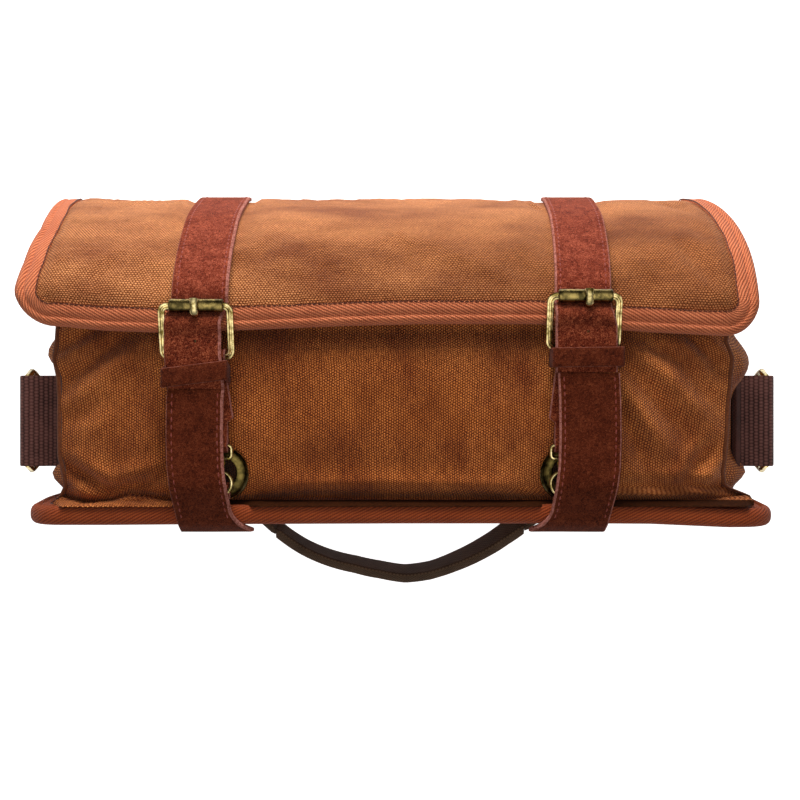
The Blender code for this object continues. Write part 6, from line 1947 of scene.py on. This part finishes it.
@dataclass
class Studio:
    """The pale floor, the soft lights and the camera straight above the roll."""

    aim_y: float = -0.026
    camera_z: float = 0.830
    lens: float = 61.35

    def build_floor(self) -> None:
        """Make the plain white floor, bright to the camera, which still takes the roll's shadow."""
        bpy.ops.mesh.primitive_plane_add(size=6.0, location=(0.0, 0.0, -0.0005))
        floor = bpy.context.object
        floor.name = "studio_floor"
        s = Shader("matt_white_paper")
        path = add_node(s.tree, "ShaderNodeLightPath")
        mirrored = s.sum("MAXIMUM", path.outputs["Is Glossy Ray"], path.outputs["Is Transmission Ray"])
        seen = s.sum("MAXIMUM", path.outputs["Is Camera Ray"], mirrored)
        material = s.finish(linear("F4F4F4"), None, 0.0, Roughness=0.9, Emission_Color=(1.0, 1.0, 1.0, 1.0))
        s.tree.links.new(s.sum("MULTIPLY", seen, 0.9), s.surface.inputs["Emission Strength"])
        floor.data.materials.append(material)

    def build_lights(self) -> None:
        """Light the roll from above, a little stronger from the hinge side."""
        for name, place, power, size in (
            ("key_light", (-0.06, 0.65, 0.33), 6.9, 0.42),
            ("fill_light", (0.1, -0.5, 1.3), 5.3, 1.2),
        ):
            lamp = bpy.data.lights.new(name, "AREA")
            lamp.energy = power
            lamp.size = size
            made = new_object(name, lamp)
            made.location = place
            made.rotation_euler = (Vector((0.0, 0.0, 0.05)) - Vector(place)).to_track_quat("-Z", "Y").to_euler()
            made.visible_glossy = False
        world = bpy.context.scene.world or bpy.data.worlds.new("studio_world")
        bpy.context.scene.world = world
        world.use_nodes = True
        tree = world.node_tree
        sky = tree.nodes["Background"]
        path = add_node(tree, "ShaderNodeLightPath")
        seen = add_node(
            tree, "ShaderNodeMath", {0: path.outputs["Is Camera Ray"], 1: path.outputs["Is Transmission Ray"]},
            operation="MAXIMUM",
        )
        way = add_node(tree, "ShaderNodeTexCoord").outputs["Generated"]
        toward = add_node(tree, "ShaderNodeVectorMath", {0: way, 1: (0.0, -0.2, 0.98)}, operation="DOT_PRODUCT")
        bright = add_node(
            tree, "ShaderNodeMapRange",
            {"Value": toward.outputs["Value"], "From Min": 0.50, "From Max": 0.97, "To Min": 0.10, "To Max": 2.0},
        )
        mirrored = add_node(
            tree, "ShaderNodeMath", {0: path.outputs["Is Glossy Ray"], 1: bright.outputs[0]}, operation="MULTIPLY"
        )
        base = add_node(tree, "ShaderNodeMath", {0: seen.outputs[0], 1: 0.8, 2: 0.2}, operation="MULTIPLY_ADD")
        strength = add_node(tree, "ShaderNodeMath", {0: base.outputs[0], 1: mirrored.outputs[0]}, operation="MAXIMUM")
        sky.inputs["Color"].default_value = (1.0, 1.0, 1.0, 1.0)
        tree.links.new(strength.outputs[0], sky.inputs["Strength"])

    def build_camera(self) -> None:
        """Look straight down, with the roll filling the frame."""
        lens = bpy.data.cameras.new("studio_camera")
        lens.lens = self.lens
        lens.sensor_width = 36.0
        made = new_object("studio_camera", lens)
        made.location = (0.0, self.aim_y, self.camera_z)
        bpy.context.scene.camera = made
        bpy.context.scene.view_settings.view_transform = "Standard"

    def build(self) -> None:
        """Build the whole studio."""
        self.build_floor()
        self.build_lights()
        self.build_camera()


def front_creases() -> list[Crease]:
    """Return the folds of the front canvas, as the eye sees them from the front."""
    return [
        Crease((-0.182, -0.018), (-0.142, 0.009), 0.0052, 0.0060),
        Crease((-0.181, 0.000), (-0.160, 0.012), 0.0040, 0.0040),
        Crease((-0.182, -0.038), (-0.156, -0.028), 0.0045, 0.0022),
        Crease((-0.180, -0.060), (-0.158, -0.0735), 0.0038, 0.0062),
        Crease((-0.158, -0.0735), (-0.120, -0.0640), 0.0036, 0.0046),
        Crease((-0.140, -0.072), (-0.112, -0.0735), 0.0034, 0.0030),
        Crease((-0.134, 0.002), (-0.148, -0.050), 0.0080, 0.0018),
        Crease((0.176, -0.010), (0.160, 0.010), 0.0042, 0.0056),
        Crease((0.175, -0.026), (0.156, -0.016), 0.0045, 0.0030),
        Crease((0.176, -0.050), (0.162, -0.066), 0.0042, 0.0052),
        Crease((0.160, -0.0690), (0.184, -0.0745), 0.0036, 0.0044),
        Crease((0.112, 0.004), (0.166, -0.050), 0.0065, 0.0074),
        Crease((0.113, -0.014), (0.140, -0.064), 0.0055, 0.0056),
        Crease((0.122, 0.011), (0.172, -0.016), 0.0052, 0.0040),
        Crease((0.112, -0.0700), (0.166, -0.0720), 0.0040, 0.0042),
        Crease((-0.074, -0.0760), (-0.004, -0.0740), 0.0032, 0.0030),
        Crease((-0.016, -0.0745), (0.068, -0.0760), 0.0032, 0.0028),
        Crease((-0.084, 0.006), (-0.062, -0.056), 0.0100, 0.0010),
    ]


def main() -> None:
    """Load the frame, build every sub-assembly in order, and keep the sizes."""
    logging.basicConfig(level=logging.INFO, format="%(name)s: %(message)s")
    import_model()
    Studio().build()
    tree = StitchTree()
    flap = flap_line()
    left = StrapSet(
        Side.LEFT, middle=-0.1025, top_middle=-0.1021, roller_y=0.022, keeper_drop=0.0103, ring_x=-0.0934,
        keeper_tilt=math.radians(7.4), drift=(-0.0012, -0.0030, -0.0030, -0.0012), frame_shift=-0.0016,
        roller_shift=-0.0011, prong_shift=-0.0016, keeper_shift=(-0.0020, 0.0011), keeper_wide=1.02,
    )
    right = StrapSet(
        Side.RIGHT, middle=0.0935, top_middle=0.0978, roller_y=0.027, keeper_drop=0.0069, ring_x=0.0875,
        keeper_tilt=math.radians(1.0), crest=0.001, extra=0.0026, frame_shift=0.0006, roller_shift=0.0009,
        prong_shift=0.0022, keeper_shift=(0.0022, 0.0014), keeper_wide=1.11, raw=(0.0011, 0.0008),
    )
    straps = (left, right)
    # Ovals of painted shade on the brown canvas: a painted shadow round each ring's bore, and a wide oval darkening
    # the front's left and middle.
    marks = [PaintedShadeOval(strap.ring_x, -0.0645, 0.0125, 0.0125) for strap in straps]
    marks.append(PaintedShadeOval(-0.04, -0.04, 0.17, 0.07, 0.5, "E8DCC8"))
    paint = make_paint(marks)
    # The shell's tape takes the darker copy of the twill: painted shade.
    shell_pad = PaddedPanel("shell", "shell", shell_line(), "brown", "brown_canvas", tape_finish="shaded_twill")
    shell_pad.build(tree, paint)
    pressed = [(strap.middle, strap.top_middle, strap.roller_y) for strap in straps]
    flap_pad = PaddedPanel("flap", "flap", flap, "tan", "tan_canvas", swell=0.0019, pressed=pressed, sunk=0.0014)
    flap_pad.build(tree, paint)
    front = FrontBody(creases=front_creases(), calm=[(strap.ring_x, -0.064) for strap in straps])
    front.build(paint)
    for strap in straps:
        strap.build(flap, front, tree, paint)
    EndTab(Side.LEFT).build(tree, paint)
    EndTab(Side.RIGHT, seat=0.1825, reach=0.0200).build(tree, paint)
    Handle().build(tree, paint)
    Inside().build(paint)


if __name__ == "__main__":
    main()
